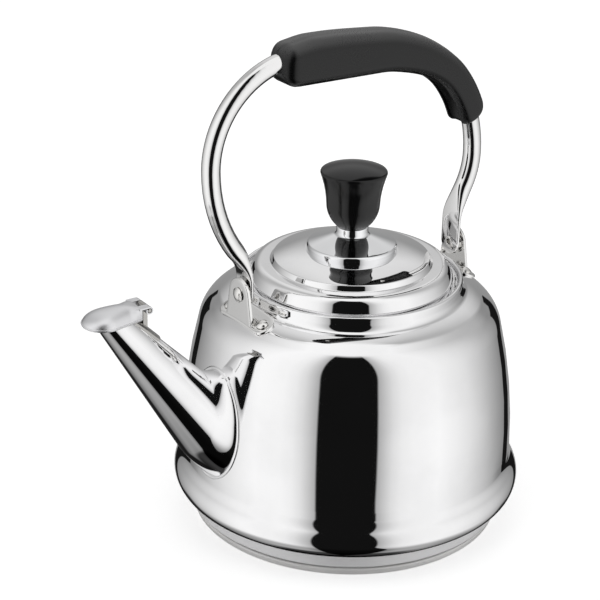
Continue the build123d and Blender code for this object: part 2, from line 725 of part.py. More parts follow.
# Knob screw and washer: hold the knob and its plate from inside the lid
washer_top_z = lid_seat.Y - sheet
knob_washer = rod((0, 0, washer_top_z), (0, 0, -1), knob_washer_r, knob_washer_t)
knob_washer -= rod((0, 0, lid_seat.Y), (0, 0, -1), knob_screw_r + running_gap, 2 * (sheet + knob_washer_t))
save("knob_washer", knob_washer)
screw_seat_z = washer_top_z - knob_washer_t
knob_screw = rod((0, 0, screw_seat_z), (0, 0, -1), knob_screw_head_r, knob_screw_head_h)
knob_screw_length = plate_top_z + knob_screw_bite - screw_seat_z
knob_screw += rod((0, 0, screw_seat_z), (0, 0, 1), knob_screw_r, knob_screw_length)
save("knob_screw", knob_screw)
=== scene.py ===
from math import acos, asin, atan2, ceil, copysign, cos, degrees, hypot, pi, radians, sin, sqrt, tan

import bmesh
import bpy
import numpy as np
from mathutils import Matrix, Vector


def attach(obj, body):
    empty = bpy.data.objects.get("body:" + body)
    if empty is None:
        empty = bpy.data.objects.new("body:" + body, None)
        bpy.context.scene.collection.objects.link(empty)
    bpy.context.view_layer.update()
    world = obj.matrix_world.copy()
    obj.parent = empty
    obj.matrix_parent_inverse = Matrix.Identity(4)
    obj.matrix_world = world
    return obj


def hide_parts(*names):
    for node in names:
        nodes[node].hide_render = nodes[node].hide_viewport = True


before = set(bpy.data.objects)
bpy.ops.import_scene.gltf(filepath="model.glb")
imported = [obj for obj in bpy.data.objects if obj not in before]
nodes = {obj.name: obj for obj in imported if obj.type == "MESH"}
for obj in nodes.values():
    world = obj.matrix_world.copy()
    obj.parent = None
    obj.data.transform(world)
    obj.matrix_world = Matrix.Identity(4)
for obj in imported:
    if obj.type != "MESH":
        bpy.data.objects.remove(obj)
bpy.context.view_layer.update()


# Base cap: a cup of steel sheet pressed over the heat spreader and welded to the pan.
# The kettle stands on it. Its rim is brushed round, so it stays duller than the wall above.
MM = 0.001
SHEET = 0.8


class Value:
    """A socket of a node tree. Sums and products of values add their Math nodes."""

    def __init__(self, tree, socket=None):
        self.tree = tree
        self.socket = socket

    def node(self, kind, settings=None, inputs=None, output=0):
        """Any other node: its settings are set first, then its sockets are filled or linked."""
        made = self.tree.nodes.new("ShaderNode" + kind)
        for name, setting in (settings or {}).items():
            if name == "stops":
                ramp = made.color_ramp.elements
                while len(ramp) < len(setting):
                    ramp.new(1)
                for stop, (place, shade) in zip(ramp, setting):
                    stop.position = place
                    stop.color = (shade, shade, shade, 1)
            else:
                setattr(made, name, setting)
        for name, value in (inputs or {}).items():
            slot = made.inputs[name]
            if isinstance(value, Value):
                self.tree.links.new(value.socket, slot)
            else:
                slot.default_value = value
        return Value(self.tree, made.outputs[output] if made.outputs else None)

    def math(self, operation, *terms):
        return self.node("Math", {"operation": operation}, dict(enumerate(terms)))

    def __add__(self, other):
        return self.math("ADD", self, other)

    def __radd__(self, other):
        return self.math("ADD", other, self)

    def __sub__(self, other):
        return self.math("SUBTRACT", self, other)

    def __rsub__(self, other):
        return self.math("SUBTRACT", other, self)

    def __mul__(self, other):
        return self.math("MULTIPLY", self, other)

    def __rmul__(self, other):
        return self.math("MULTIPLY", other, self)

    def __truediv__(self, other):
        return self.math("DIVIDE", self, other)

    def __rtruediv__(self, other):
        return self.math("DIVIDE", other, self)

    def __abs__(self):
        return self.math("ABSOLUTE", self)

    def step(self, low, high):
        """Soft step from 0 to 1 as this value goes from low to high."""
        return self.node("MapRange", {"interpolation_type": "SMOOTHSTEP"}, {0: self, 1: low, 2: high})

    def blend(self, first, second):
        """Mix of two colours: the first where this value is 0, the second where it is 1."""
        return self.node("Mix", {"data_type": "RGBA"}, {0: self, 6: first, 7: second}, output=2)


def new_finish(name):
    """An empty node tree for one finish."""
    material = bpy.data.materials.new(name)
    material.use_nodes = True
    material.node_tree.nodes.clear()
    return material, Value(material.node_tree)


def shaded(tint, share):
    """A colour with each of its parts scaled by the same share."""
    return (*[share * part for part in tint], 1)


MARK_SCALE = 900.0
CLOUD_SCALE = 22.0
SWELL_SCALE = 9.0
CLOUD_SHADE = 0.93
SATIN_EDGE = 0.3
SATIN_DULL = 0.36
SATIN_MATT = 0.85
SATIN_SHADE = 0.98
NO_SATIN_Z = -500.0


def steel_finish(name, tint, dull, marks, grain=(1, 1, 1), wave=0.0, scratch=0.0,
                 satin_z=NO_SATIN_Z, blast=0.0):
    """Stainless steel: tint, mean roughness and its spread, the stretch of the polishing marks, the
    depth of waves and scratches, the height below which it is left satin, and how matt it is blasted."""
    material, graph = new_finish(name)
    place = graph.node("TexCoord", output=3)
    level = graph.node("SeparateXYZ", inputs={0: place}, output=2)
    stretched = graph.node("Mapping", inputs={"Vector": place, "Scale": grain})
    lines = graph.node("TexNoise", inputs={"Vector": stretched, "Scale": MARK_SCALE, "Detail": 3.0})
    cloud = graph.node("TexNoise", inputs={"Vector": place, "Scale": CLOUD_SCALE, "Detail": 4.0})
    swell = graph.node("TexNoise", inputs={"Vector": place, "Scale": SWELL_SCALE, "Detail": 1.0})
    rough = dull + marks * (lines - 0.5) + marks * (cloud - 0.5)
    satin = level.step((satin_z + SATIN_EDGE) * MM, satin_z * MM)
    rough = rough + SATIN_DULL * satin
    colour = cloud.step(0.35, 0.65).blend(shaded(tint, CLOUD_SHADE), (*tint, 1))
    colour = satin.blend(colour, shaded(tint, SATIN_SHADE))
    bump = graph.node("Bump", inputs={"Strength": 1.0, "Distance": 1.0,
                                      "Height": lines * scratch + swell * wave})
    shader = graph.node("BsdfPrincipled", inputs={"Base Color": colour, "Roughness": rough, "Normal": bump,
                                                  "Metallic": 1 - blast - SATIN_MATT * satin})
    graph.node("OutputMaterial", inputs={"Surface": shader})
    return material


BEND_STEP = 4
RUN_STEP = 5
RUN_HOLD = 0.35


def walk(start, heading, *steps):
    """Closely spaced points, with their headings, along runs and tangent bends from a start point.
    A run holds a point near each of its ends, which keeps the shading of a bend inside the bend."""
    x, z = start
    angle = radians(heading)
    line = [(x, z, angle)]
    for kind, *amount in steps:
        if kind == "bend":
            turn = radians(amount[1])
            side = copysign(1, turn)
            radius = amount[0]
            mid_x, mid_z = x - side * radius * sin(angle), z + side * radius * cos(angle)
            count = max(3, ceil(abs(amount[1]) / BEND_STEP))
            for index in range(1, count + 1):
                now = angle + turn * index / count
                line.append((mid_x + side * radius * sin(now), mid_z - side * radius * cos(now), now))
            angle += turn
        else:
            length = {"run": amount[0], "to_r": (amount[0] - x) / (cos(angle) or 1),
                      "to_z": (amount[0] - z) / (sin(angle) or 1)}[kind]
            hold = min(RUN_HOLD, length / 4)
            inner = np.linspace(hold, length - hold, max(2, int(length / RUN_STEP)))
            for reach in [*inner, length]:
                line.append((x + cos(angle) * reach, z + sin(angle) * reach, angle))
        x, z = line[-1][:2]
    return line


def sheet_loop(line, thickness):
    """Closed section of a sheet whose outer side follows a walked line, metal on the left."""
    outer = [(x, z) for x, z, a in line]
    inner = [(x - thickness * sin(a), z + thickness * cos(a)) for x, z, a in line]
    return outer + inner[::-1]


def turned(loop, turns=240):
    """Points and faces of a closed section of radius and height, turned about the kettle's axis."""
    section = np.array(loop)
    angle = np.linspace(0, 2 * pi, turns, endpoint=False)[:, None]
    points = np.stack([np.cos(angle) * section[:, 0], np.sin(angle) * section[:, 0],
                       np.ones_like(angle) * section[:, 1]], axis=2).reshape(-1, 3)
    return points, ring_faces(turns, len(section), wrap=True)


def ring_faces(rows, columns, wrap):
    """Quads between neighbouring rows of closed rings; wrap joins the last row to the first."""
    faces = []
    for row in range(rows if wrap else rows - 1):
        low, high = row * columns, (row + 1) % rows * columns
        for column in range(columns):
            after = (column + 1) % columns
            faces.append((low + column, low + after, high + after, high + column))
    return faces


def skin(rings):
    """Points and faces of a skin over rings with the same number of points, closed at both ends."""
    count = len(rings[0])
    points = [spot for ring in rings for spot in ring]
    ends = [tuple(range(count))[::-1], tuple(range(len(points) - count, len(points)))]
    return points, ring_faces(len(rings), count, wrap=False) + ends


def make(name, parts, sharp=35):
    """One mesh piece, in millimetres, from groups of points and faces; sharp is its smoothing angle."""
    mesh = bpy.data.meshes.new(name)
    build = bmesh.new()
    for points, faces in parts:
        spots = [build.verts.new(Vector(point) * MM) for point in points]
        for face in faces:
            build.faces.new([spots[index] for index in face])
    bmesh.ops.remove_doubles(build, verts=build.verts, dist=1e-7)
    bmesh.ops.recalc_face_normals(build, faces=build.faces)
    build.to_mesh(mesh)
    build.free()
    smooth(mesh, sharp)
    made = bpy.data.objects.new(name, mesh)
    bpy.context.scene.collection.objects.link(made)
    return made


def smooth(mesh, sharp):
    """Smooth shading, with edges sharper than the given angle kept crisp."""
    mesh.shade_smooth()
    mesh.set_sharp_from_angle(angle=radians(sharp))


def fit(piece, body, slot, finish, *replaced):
    """Give a piece its finish and its body, and hide the solids that it stands for."""
    piece.data.materials.clear()
    piece.data.materials.append(finish)
    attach(piece, body)
    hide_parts(*replaced)


def coat(finish, *names):
    """Give a finish to solids that keep their own shape."""
    for name in names:
        nodes[name].data.materials.clear()
        nodes[name].data.materials.append(finish)


BULGE_R = 92.1
BASE_R = BULGE_R - 12.1
BASE_H = 6.9
BASE_EDGE_Z = 4.2
BASE_BEND_R = 1.5
BASE_RIM_LEAN = 72
BASE_LIP_R = 0.9
BASE_LIP_W = 1.5
BASE_LIP_DROP = 1.18
brushed_base = steel_finish("brushed_base_steel", (0.95, 0.94, 0.93), 0.42, 0.12, grain=(1, 1, 40),
                            scratch=4e-6, blast=0.85)
cap_line = walk((0, 0), 0, ("run", BASE_R), ("bend", BASE_BEND_R, BASE_RIM_LEAN),
                ("to_z", BASE_EDGE_Z - BASE_LIP_DROP), ("bend", BASE_LIP_R, 180 - BASE_RIM_LEAN),
                ("run", BASE_LIP_W))
base_cap = make("base_cap_pressing", [turned(sheet_loop(cap_line, SHEET))])
fit(base_cap, "kettle", "base_steel", brushed_base, "base_cap")


# Heat spreader: a sawn disc of aluminium between the cap and the pan, which evens the heat.
# It is clamped between the two pressings and never seen.
sawn_aluminium = steel_finish("sawn_aluminium", (0.80, 0.80, 0.81), 0.42, 0.1, grain=(1, 14, 1),
                              scratch=6e-6)
coat(sawn_aluminium, "heat_spreader")


# Bottom pan: deep-drawn stainless sheet with a foot step and a rolled-out bulge.
# It is seam-welded to the wall at the crease and polished with it to a mirror.
FOOT_R = BASE_R + 3.5
FOOT_BEND_R = 1.0
FOOT_LIP_R = 0.9
FOOT_LIP_W = 3.2
FOOT_LIP_Z = BASE_EDGE_Z + 2.4
FOOT_SATIN_Z = 11.8
BULGE_BEND_R = 9.65
BULGE_Z = 22.2
CREASE_R = 8.5
SEAM_Z = 35.5
WALL_R = BULGE_R - 4.8
polished = steel_finish("mirror_polished_steel", (0.955, 0.953, 0.958), 0.035, 0.02, wave=5e-6,
                        satin_z=FOOT_SATIN_Z)
bulge_mid_r = BULGE_R - BULGE_BEND_R
under_heading = degrees(asin((FOOT_R + FOOT_BEND_R - bulge_mid_r) / (BULGE_BEND_R + FOOT_BEND_R)))
foot_top_z = BULGE_Z - (BULGE_BEND_R + FOOT_BEND_R) * cos(radians(under_heading))
crease_heading = 180 - degrees(asin((WALL_R + CREASE_R - bulge_mid_r) / (BULGE_BEND_R + CREASE_R)))
pan_line = walk((0, BASE_H), 0, ("to_r", FOOT_R - FOOT_LIP_W), ("bend", FOOT_LIP_R, -90),
                ("to_z", FOOT_LIP_Z), ("bend", FOOT_LIP_R, 90), ("to_r", FOOT_R - FOOT_LIP_R),
                ("bend", FOOT_LIP_R, 90), ("to_z", foot_top_z), ("bend", FOOT_BEND_R, under_heading - 90),
                ("bend", BULGE_BEND_R, crease_heading - under_heading),
                ("bend", CREASE_R, 90 - crease_heading), ("to_z", SEAM_Z))
bottom_pan = make("bottom_pan_pressing", [turned(sheet_loop(pan_line, SHEET))])
fit(bottom_pan, "kettle", "polished_steel", polished, "bottom_pan")


# Body shell: wall, shoulder and neck drawn from one sheet, with the collar folded over at the rim.
# A patch of strainer holes is punched behind the spout, and the ears are riveted to the shoulder.
WALL_BEND_Z = 39.3
WALL_BEND_R = 280.8
WALL_LEAN = 14.2
CONE_BEND_R = 20.0
CONE_LEAN = 50.7
COLLAR_R = WALL_R - 29.3
COLLAR_BEND_R = 4.0
CONE_TOP_R = COLLAR_R + 10.95
SHOULDER_EDGE_R = 8.0
SHOULDER_LEAN = 64.5
SHOULDER_BEND_R = 32.0
SHOULDER_TOP_LEAN = 76.5
RIM_R = 1.2
RIM_Z = 132.4
LEDGE_Z = 129.6
LEDGE_BEND_R = 0.9
MOUTH_R = COLLAR_R - 7.6
MOUTH_BEND_R = 1.4
MOUTH_LOW_Z = LEDGE_Z - 4.5
SPOUT_ROOT = Vector((-WALL_R - 0.8, 0, 70.0))
STRAINER_DROP = 2.4
STRAINER_PITCH = 7.0
STRAINER_R = 2.5
wall_steps = [("to_z", WALL_BEND_Z), ("bend", WALL_BEND_R, WALL_LEAN),
              ("bend", CONE_BEND_R, CONE_LEAN - WALL_LEAN), ("to_r", CONE_TOP_R),
              ("bend", SHOULDER_EDGE_R, SHOULDER_LEAN - CONE_LEAN),
              ("bend", SHOULDER_BEND_R, SHOULDER_TOP_LEAN - SHOULDER_LEAN),
              ("to_r", COLLAR_R + COLLAR_BEND_R * (1 - cos(radians(SHOULDER_TOP_LEAN))))]
neck_steps = [("bend", COLLAR_BEND_R, -SHOULDER_TOP_LEAN), ("to_z", RIM_Z - RIM_R), ("bend", RIM_R, 180),
              ("to_z", LEDGE_Z + LEDGE_BEND_R), ("bend", LEDGE_BEND_R, -90),
              ("to_r", MOUTH_R + MOUTH_BEND_R), ("bend", MOUTH_BEND_R, 90), ("to_z", MOUTH_LOW_Z)]
wall_line = walk((WALL_R, SEAM_Z), 90, *wall_steps)
shell_line = walk((WALL_R, SEAM_Z), 90, *wall_steps, *neck_steps)


def wall_radius(height):
    """Outer radius of wall and shoulder at a height."""
    return float(np.interp(height, [z for r, z, a in wall_line], [r for r, z, a in wall_line]))


def rod(start, direction, radius, length, sides=40):
    """Points and faces of a plain round cutter."""
    turn = Vector((0, 0, 1)).rotation_difference(Vector(direction)).to_matrix()
    swings = [2 * pi * index / sides for index in range(sides)]
    rings = []
    for height in (0, length):
        ring = [Vector((radius * cos(swing), radius * sin(swing), height)) for swing in swings]
        rings.append([turn @ spot + Vector(start) for spot in ring])
    return skin(rings)


def cut(piece, cutters, sharp=35):
    """Take cutters out of a piece and bake the result into its mesh."""
    tool = make("cutter", cutters)
    modifier = piece.modifiers.new("cut", "BOOLEAN")
    modifier.operation = "DIFFERENCE"
    modifier.solver = "EXACT"
    modifier.object = tool
    bpy.context.view_layer.update()
    result = bpy.data.meshes.new_from_object(piece.evaluated_get(bpy.context.evaluated_depsgraph_get()))
    piece.modifiers.clear()
    piece.data = result
    smooth(result, sharp)
    bpy.data.objects.remove(tool)


strainer = [(0, 0)]
for ring in (1, 2):
    for index in range(6 * ring):
        turn = 2 * pi * index / (6 * ring)
        strainer.append((ring * STRAINER_PITCH * cos(turn), ring * STRAINER_PITCH * sin(turn)))
body_shell = make("body_shell_drawing", [turned(sheet_loop(shell_line, SHEET))])
strainer_z = SPOUT_ROOT.z - STRAINER_DROP
cut(body_shell, [rod((-WALL_R - 1, across, strainer_z + up), (1, 0, 0), STRAINER_R, WALL_R / 2, 24)
                 for across, up in strainer])
fit(body_shell, "kettle", "polished_steel", polished, "body_shell")


# Spout: a tapered tube of the same sheet, pulled up and flared where it meets the wall and welded on.
# Its mouth is cut level, so that the whistle's plate lies flat on it.
SPOUT_RISE = 52.1
SPOUT_ROOT_R = 18.97
SPOUT_TIP_R = 8.03
SPOUT_TAPER = (SPOUT_ROOT_R - SPOUT_TIP_R) / 86.2
MOUTH_Z = 138.6
SEAM_MID_Z = 68.2
SEAM_TALL = 29.3
SEAM_SWING = radians(14.4)
SPOUT_SIDES = 192
FLARE = 13
FLARE_UNDER = 17
FLARE_ROWS = 28
FLARE_PULL = 0.85
WALL_EASE = 2.5
WALL_EASE_SIDES = 5.0
WALL_EASE_TOP = 1.5
NUDGE = 0.5
spout_along = Vector((-cos(radians(SPOUT_RISE)), 0, sin(radians(SPOUT_RISE))))
spout_up = Vector((sin(radians(SPOUT_RISE)), 0, cos(radians(SPOUT_RISE))))
spout_across = Vector((0, 1, 0))


def cone_point(turn, reach, shrink):
    """Point on the spout's cone at an angle round its axis and a distance from its root."""
    out = spout_across * cos(turn) + spout_up * sin(turn)
    return SPOUT_ROOT + spout_along * reach + out * (SPOUT_ROOT_R - SPOUT_TAPER * reach - shrink)


def seam_point(turn, inward=0.0, lift=0.0):
    """Point on the wall round the spout's root, drawn in along the wall and lifted off it."""
    swing = (SEAM_SWING - inward / WALL_R) * cos(turn)
    z = SEAM_MID_Z + (SEAM_TALL - inward) * sin(turn)
    radius = wall_radius(z) + lift
    return Vector((-radius * cos(swing), radius * sin(swing), z))


def cone_start(turn):
    """Distance from the root at which a line of the cone comes out of the wall."""
    low, high = -40.0, 45.0
    for halving in range(40):
        middle = (low + high) / 2
        spot = cone_point(turn, middle, 0)
        inside = hypot(spot.x, spot.y) < wall_radius(spot.z)
        low, high = (middle, high) if inside else (low, middle)
    return low


def spout_line(turn, shrink):
    """Points up the spout: a flare from the wall, then the straight cone up to the level mouth."""
    below = (1 - sin(turn)) / 2
    flare = FLARE + FLARE_UNDER * below ** 2
    ease = WALL_EASE + WALL_EASE_SIDES * cos(turn) ** 2 + WALL_EASE_TOP * (1 - below)
    first = seam_point(turn, 1.2 * shrink, -shrink)
    along_wall = (seam_point(turn, NUDGE) - seam_point(turn)).normalized() * ease
    top = cone_start(turn) + flare
    last = cone_point(turn, top, shrink)
    ahead = cone_point(turn, top + 1, shrink) - last
    along_cone = ahead * flare * FLARE_PULL
    spots = []
    for share in np.linspace(0, 1, FLARE_ROWS, endpoint=False):
        back = 1 - share
        spots.append(first * (1 + 2 * share) * back ** 2 + along_wall * share * back ** 2
                     + last * share ** 2 * (3 - 2 * share) - along_cone * share ** 2 * back)
    rise = (MOUTH_Z - last.z) / ahead.z
    for share in [*np.linspace(0, 0.985, 36), 0.995, 1]:
        spots.append(last + ahead * rise * share)
    return spots


def hoop(rings):
    """Points and faces of a skin over rings with the same number of points, closed on itself."""
    return [spot for ring in rings for spot in ring], ring_faces(len(rings), len(rings[0]), wrap=True)


spout_turns = [2 * pi * index / SPOUT_SIDES for index in range(SPOUT_SIDES)]
outside = list(zip(*[spout_line(turn, 0.0) for turn in spout_turns]))
inside = list(zip(*[spout_line(turn, SHEET) for turn in spout_turns]))
spout = make("spout_cone", [hoop(outside + inside[::-1])], sharp=60)
fit(spout, "kettle", "polished_steel", polished, "spout")


# Weld bead: the fine ridge that runs round the spout's root where it is welded to the wall.
# It is ground nearly flush, so it shows as one thin line.
BEAD_R = 0.7
BEAD_SPREAD = 1.3
BEAD_SIDES = 12
bead_swings = [2 * pi * index / BEAD_SIDES for index in range(BEAD_SIDES)]
bead_rings = []
for turn in spout_turns:
    spot = seam_point(turn)
    inward = (seam_point(turn, NUDGE) - spot).normalized()
    outward = (seam_point(turn, 0, 1) - spot).normalized()
    bead_rings.append([spot + inward * BEAD_R * BEAD_SPREAD * cos(swing) + outward * BEAD_R * sin(swing)
                       for swing in bead_swings])
bead = make("spout_weld_bead", [hoop(bead_rings)], sharp=60)
fit(bead, "kettle", "polished_steel", polished, "spout_bead")


# Ears: two stamped brackets. Each has a flange with two lobes that lies on the shoulder and a plate
# bent up beside the arm, and is polished less finely than the body.
ARM_X = COLLAR_R + 7.5
ARM_T = 2.2
WASHER_T = 1.2
EAR_T = 1.6
EAR_PLAY = 0.04
EAR_INNER_X = ARM_X + ARM_T / 2 + WASHER_T + EAR_PLAY
EAR_OUTER_X = EAR_INNER_X + EAR_T
EAR_TOP_R = 8.6
EAR_FOOT_W = 11.6
EAR_EDGE_R = 0.45
PIVOT_Z = RIM_Z + 3.45
FLANGE_T = 1.2
FLANGE_EDGE_R = 0.35
FLANGE_SLOPE = 23.5
FLANGE_GAP = 0.02
LOBE_X = ARM_X - 1.1
LOBE_Y = 14.6
LOBE_R = 5.6
ear_steel = steel_finish("ear_polished_steel", (0.90, 0.895, 0.885), 0.1, 0.05, grain=(1, 6, 1), wave=3e-6,
                         scratch=1.5e-6)


def shoulder_z(x, y):
    """Height of the shoulder's outer face above a point."""
    return float(np.interp(-hypot(x, y), [-r for r, z, a in wall_line], [z for r, z, a in wall_line]))


def hull(points):
    """Outline round a set of flat points, anticlockwise."""
    points = sorted(set(points))
    chains = []
    for order in (points, points[::-1]):
        chain = []
        for spot in order:
            while len(chain) > 1 and ((chain[-1][0] - chain[-2][0]) * (spot[1] - chain[-2][1])
                                      - (chain[-1][1] - chain[-2][1]) * (spot[0] - chain[-2][0])) <= 0:
                chain.pop()
            chain.append(spot)
        chains += chain[:-1]
    return chains


def arc_points(middle, radius, count=64):
    """Points round a circle."""
    return [(middle[0] + radius * cos(2 * pi * i / count), middle[1] + radius * sin(2 * pi * i / count))
            for i in range(count)]


def even_loop(points, spacing):
    """The same closed outline with points at an even spacing."""
    loop = np.array(points + points[:1])
    reach = np.concatenate([[0], np.cumsum(np.hypot(*np.diff(loop, axis=0).T))])
    steps = np.linspace(0, reach[-1], int(reach[-1] / spacing), endpoint=False)
    return list(zip(np.interp(steps, reach, loop[:, 0]), np.interp(steps, reach, loop[:, 1])))


def inset_loop(loop, amount):
    """An anticlockwise outline drawn in by an amount."""
    spots = np.array(loop)
    ahead = np.roll(spots, -1, axis=0) - np.roll(spots, 1, axis=0)
    ahead /= np.hypot(*ahead.T)[:, None]
    return list(map(tuple, spots + np.stack([-ahead[:, 1], ahead[:, 0]], axis=1) * amount))


def plate(loop, thickness, edge, place):
    """Flat stamping with rounded edges: an outline, its thickness, and what sets its points in space."""
    rings = [[place(x, y, 0) for x, y in loop], [place(x, y, thickness - edge) for x, y in loop]]
    for swing in (30, 60, 90):
        drawn = inset_loop(loop, edge * (1 - cos(radians(swing))))
        rings.append([place(x, y, thickness - edge * (1 - sin(radians(swing)))) for x, y in drawn])
    drawn = np.array(inset_loop(loop, edge))
    middle = drawn.mean(axis=0)
    for share in (0.85, 0.6, 0.3, 0.02):
        rings.append([place(*(middle + (spot - middle) * share), thickness) for spot in drawn])
    return skin(rings)


ear_foot_z = shoulder_z(EAR_OUTER_X, 0)
ear_feet = [(-EAR_FOOT_W, ear_foot_z), (EAR_FOOT_W, ear_foot_z)]
ear_loop = even_loop(hull(arc_points((0, PIVOT_Z), EAR_TOP_R) + ear_feet), spacing=0.7)
lobe_r = hypot(LOBE_X, LOBE_Y)
lobe_z = shoulder_z(LOBE_X, LOBE_Y)
lobes = arc_points((LOBE_X, LOBE_Y), LOBE_R) + arc_points((LOBE_X, -LOBE_Y), LOBE_R)
flange_loop = even_loop(hull(lobes), spacing=0.6)


def ear_plate_spot(y, z, depth):
    """Place of a point of the ear's upright plate."""
    return EAR_INNER_X + depth, y, z


def flange_spot(x, y, depth):
    """Place of a point of the ear's flange, laid on the shoulder at the lobes."""
    return x, y, lobe_z - tan(radians(FLANGE_SLOPE)) * (hypot(x, y) - lobe_r) + depth + FLANGE_GAP


ear_parts = [plate(ear_loop, EAR_T, EAR_EDGE_R, ear_plate_spot),
             plate(flange_loop, FLANGE_T, FLANGE_EDGE_R, flange_spot)]
for side, name in ((1, "rear"), (-1, "front")):
    parts = [([(side * x, y, z) for x, y, z in points], faces) for points, faces in ear_parts]
    fit(make(f"ear_{name}_stamping", parts, sharp=40), "kettle", "ear_steel", ear_steel, f"ear_{name}")


# Rivets: turned steel rivets. Two hold each ear's flange to the shoulder, and one through the
# ear's plate is the pivot, with a domed head outside and a rolled eyelet inside the arm.
RIVET_HEAD = (3.2, 1.3)
RIVET_SEAT = 0.1
PIVOT_HEAD = (3.9, 1.5)
PIVOT_R = 2.2
EYELET_R = 2.9
EYELET_BORE_R = 1.5
EYELET_DEPTH = 3.4
rivet_steel = steel_finish("rivet_steel", (0.88, 0.87, 0.85), 0.12, 0.06, grain=(3, 3, 3), scratch=2e-6)


def stud(section, start, direction, turns=48):
    """A section of radius and height, turned and set on a point along a direction."""
    turn = Vector((0, 0, 1)).rotation_difference(Vector(direction)).to_matrix()
    points, faces = turned(section, turns)
    return [turn @ Vector(point) + Vector(start) for point in points], faces


def domed_head(radius, height):
    """Section of a rivet head with a rolled-under edge, standing on its seat."""
    ball = (radius ** 2 + height ** 2) / (2 * height)
    widest = asin(radius * 0.94 / ball)
    swings = [widest * index / 12 for index in range(13)]
    crown = [(ball * sin(swing), height + 0.5 - ball * (1 - cos(swing))) for swing in swings]
    return crown + [(radius, 0.6), (radius, 0.32), (radius * 0.97, 0.18), (radius * 0.85, 0.14),
                    (radius * 0.85, -0.3), (0, -0.3)]


for side, name in ((1, "rear"), (-1, "front")):
    heads = []
    for across in (-1, 1):
        outward = Vector((side * LOBE_X, across * LOBE_Y, 0)) / lobe_r
        normal = outward * sin(radians(FLANGE_SLOPE)) + Vector((0, 0, cos(radians(FLANGE_SLOPE))))
        spot = Vector((side * LOBE_X, across * LOBE_Y, lobe_z))
        heads.append(stud(domed_head(*RIVET_HEAD), spot + normal * (FLANGE_T + RIVET_SEAT), normal))
        heads.append(stud(domed_head(*RIVET_HEAD), spot - normal * (SHEET + RIVET_SEAT), -normal))
    fit(make(f"ear_rivets_{name}_heads", heads), "kettle", "fastener_steel", rivet_steel,
        f"ear_rivets_{name}")
    inner_x = ARM_X - ARM_T / 2
    eyelet = [(EYELET_BORE_R, EYELET_DEPTH), (EYELET_BORE_R, -0.3), (1.75, -0.5), (2.2, -0.56), (2.65, -0.46),
              (EYELET_R, -0.2), (EYELET_R, -0.02), (PIVOT_R, -0.02), (PIVOT_R, EYELET_DEPTH)]
    shank = [(0, EYELET_DEPTH), (PIVOT_R, EYELET_DEPTH), (PIVOT_R, EAR_OUTER_X - inner_x),
             (0, EAR_OUTER_X - inner_x)]
    pivot = [stud(domed_head(*PIVOT_HEAD), (side * EAR_OUTER_X, 0, PIVOT_Z), (side, 0, 0)),
             stud(eyelet, (side * inner_x, 0, PIVOT_Z), (side, 0, 0)),
             stud(shank, (side * inner_x, 0, PIVOT_Z), (side, 0, 0))]
    fit(make(f"pivot_rivet_{name}_turning", pivot), "kettle", "fastener_steel", rivet_steel,
        f"pivot_rivet_{name}")
coat(rivet_steel, "pivot_washers")


# Whistle hinge: a stamped saddle spot-welded to the spout, with a lug that takes the pin.
# The pin is a plain steel rod, held by the cap's knuckles on both sides of the lug.
# The hinge's steel is tinted dark as painted shade, standing for the shadow under the cap's rolled rear edge.
hinge_steel_painted_shade = steel_finish("hinge_steel_painted_shade", (0.5, 0.49, 0.47), 0.2, 0.08, grain=(4, 4, 4), scratch=3e-6)
coat(hinge_steel_painted_shade, "hinge_bracket", "hinge_pin")


# Whistle: a domed cap pressed from steel and glass-bead blasted, crimped to a flat plate with a
# sounding hole. Its rear edge is rolled into two knuckles round the hinge pin.
WHISTLE_PLATE_T = 0.6
WHISTLE_PLATE_EDGE_R = 0.25
SOUND_HOLE_R = 1.8
CAP_RIM_Z = MOUTH_Z + WHISTLE_PLATE_T
MOUTH_X = -SPOUT_ROOT.x + (MOUTH_Z - SPOUT_ROOT.z) / tan(radians(SPOUT_RISE))
CAP_FRONT_X = MOUTH_X + 4.8
CAP_REAR_X = MOUTH_X - 12.9
CAP_REAR_W = 6.9
HINGE_X = MOUTH_X - 17.0
HINGE_Z = MOUTH_Z + 4.3
KNUCKLE_R = 1.95
KNUCKLE_T = 0.7
KNUCKLE_RUN = 5.5
KNUCKLE_TURN = 300
LUG_W = 2.9
CAP_R = 10.4
CAP_H = 6.6
CAP_CROWN = 9.5
CAP_NOSE = 2.2
CAP_SQUARE = 2.15
CAP_REAR_SQUARE = 5.0
CAP_REAR_RUN = 7
CAP_BEAD_R = 0.35
CAP_BEAD_Z = 0.38
CAP_BEAD_SIDES = 10
CAP_REAR_H = HINGE_Z + KNUCKLE_R - CAP_RIM_Z
satin = steel_finish("blasted_satin_steel", (0.87, 0.87, 0.885), 0.36, 0.08, scratch=2.5e-6)
cap_length = CAP_FRONT_X + CAP_R - CAP_REAR_X
cap_side = atan2(-CAP_REAR_W, CAP_FRONT_X - CAP_REAR_X)
cap_side += asin(CAP_R / hypot(CAP_REAR_W, CAP_FRONT_X - CAP_REAR_X))
cap_round_x = CAP_FRONT_X - CAP_R * sin(cap_side)


def cap_half_width(x):
    """Half width of the cap's plan: a round front and tangent sides that draw in to the rear."""
    if x < cap_round_x:
        return CAP_REAR_W + tan(cap_side) * (x - CAP_REAR_X)
    return sqrt(max(1e-6, CAP_R ** 2 - (x - CAP_FRONT_X) ** 2))


def cap_height(reach):
    """Height of the cap's ridge above its rim, by the distance from the rear edge."""
    if reach < CAP_CROWN:
        return CAP_H - (CAP_H - CAP_REAR_H) * (1 - reach / CAP_CROWN) ** 2
    return CAP_H * max(1e-4, 1 - ((reach - CAP_CROWN) / (cap_length - CAP_CROWN)) ** CAP_NOSE) ** 0.5


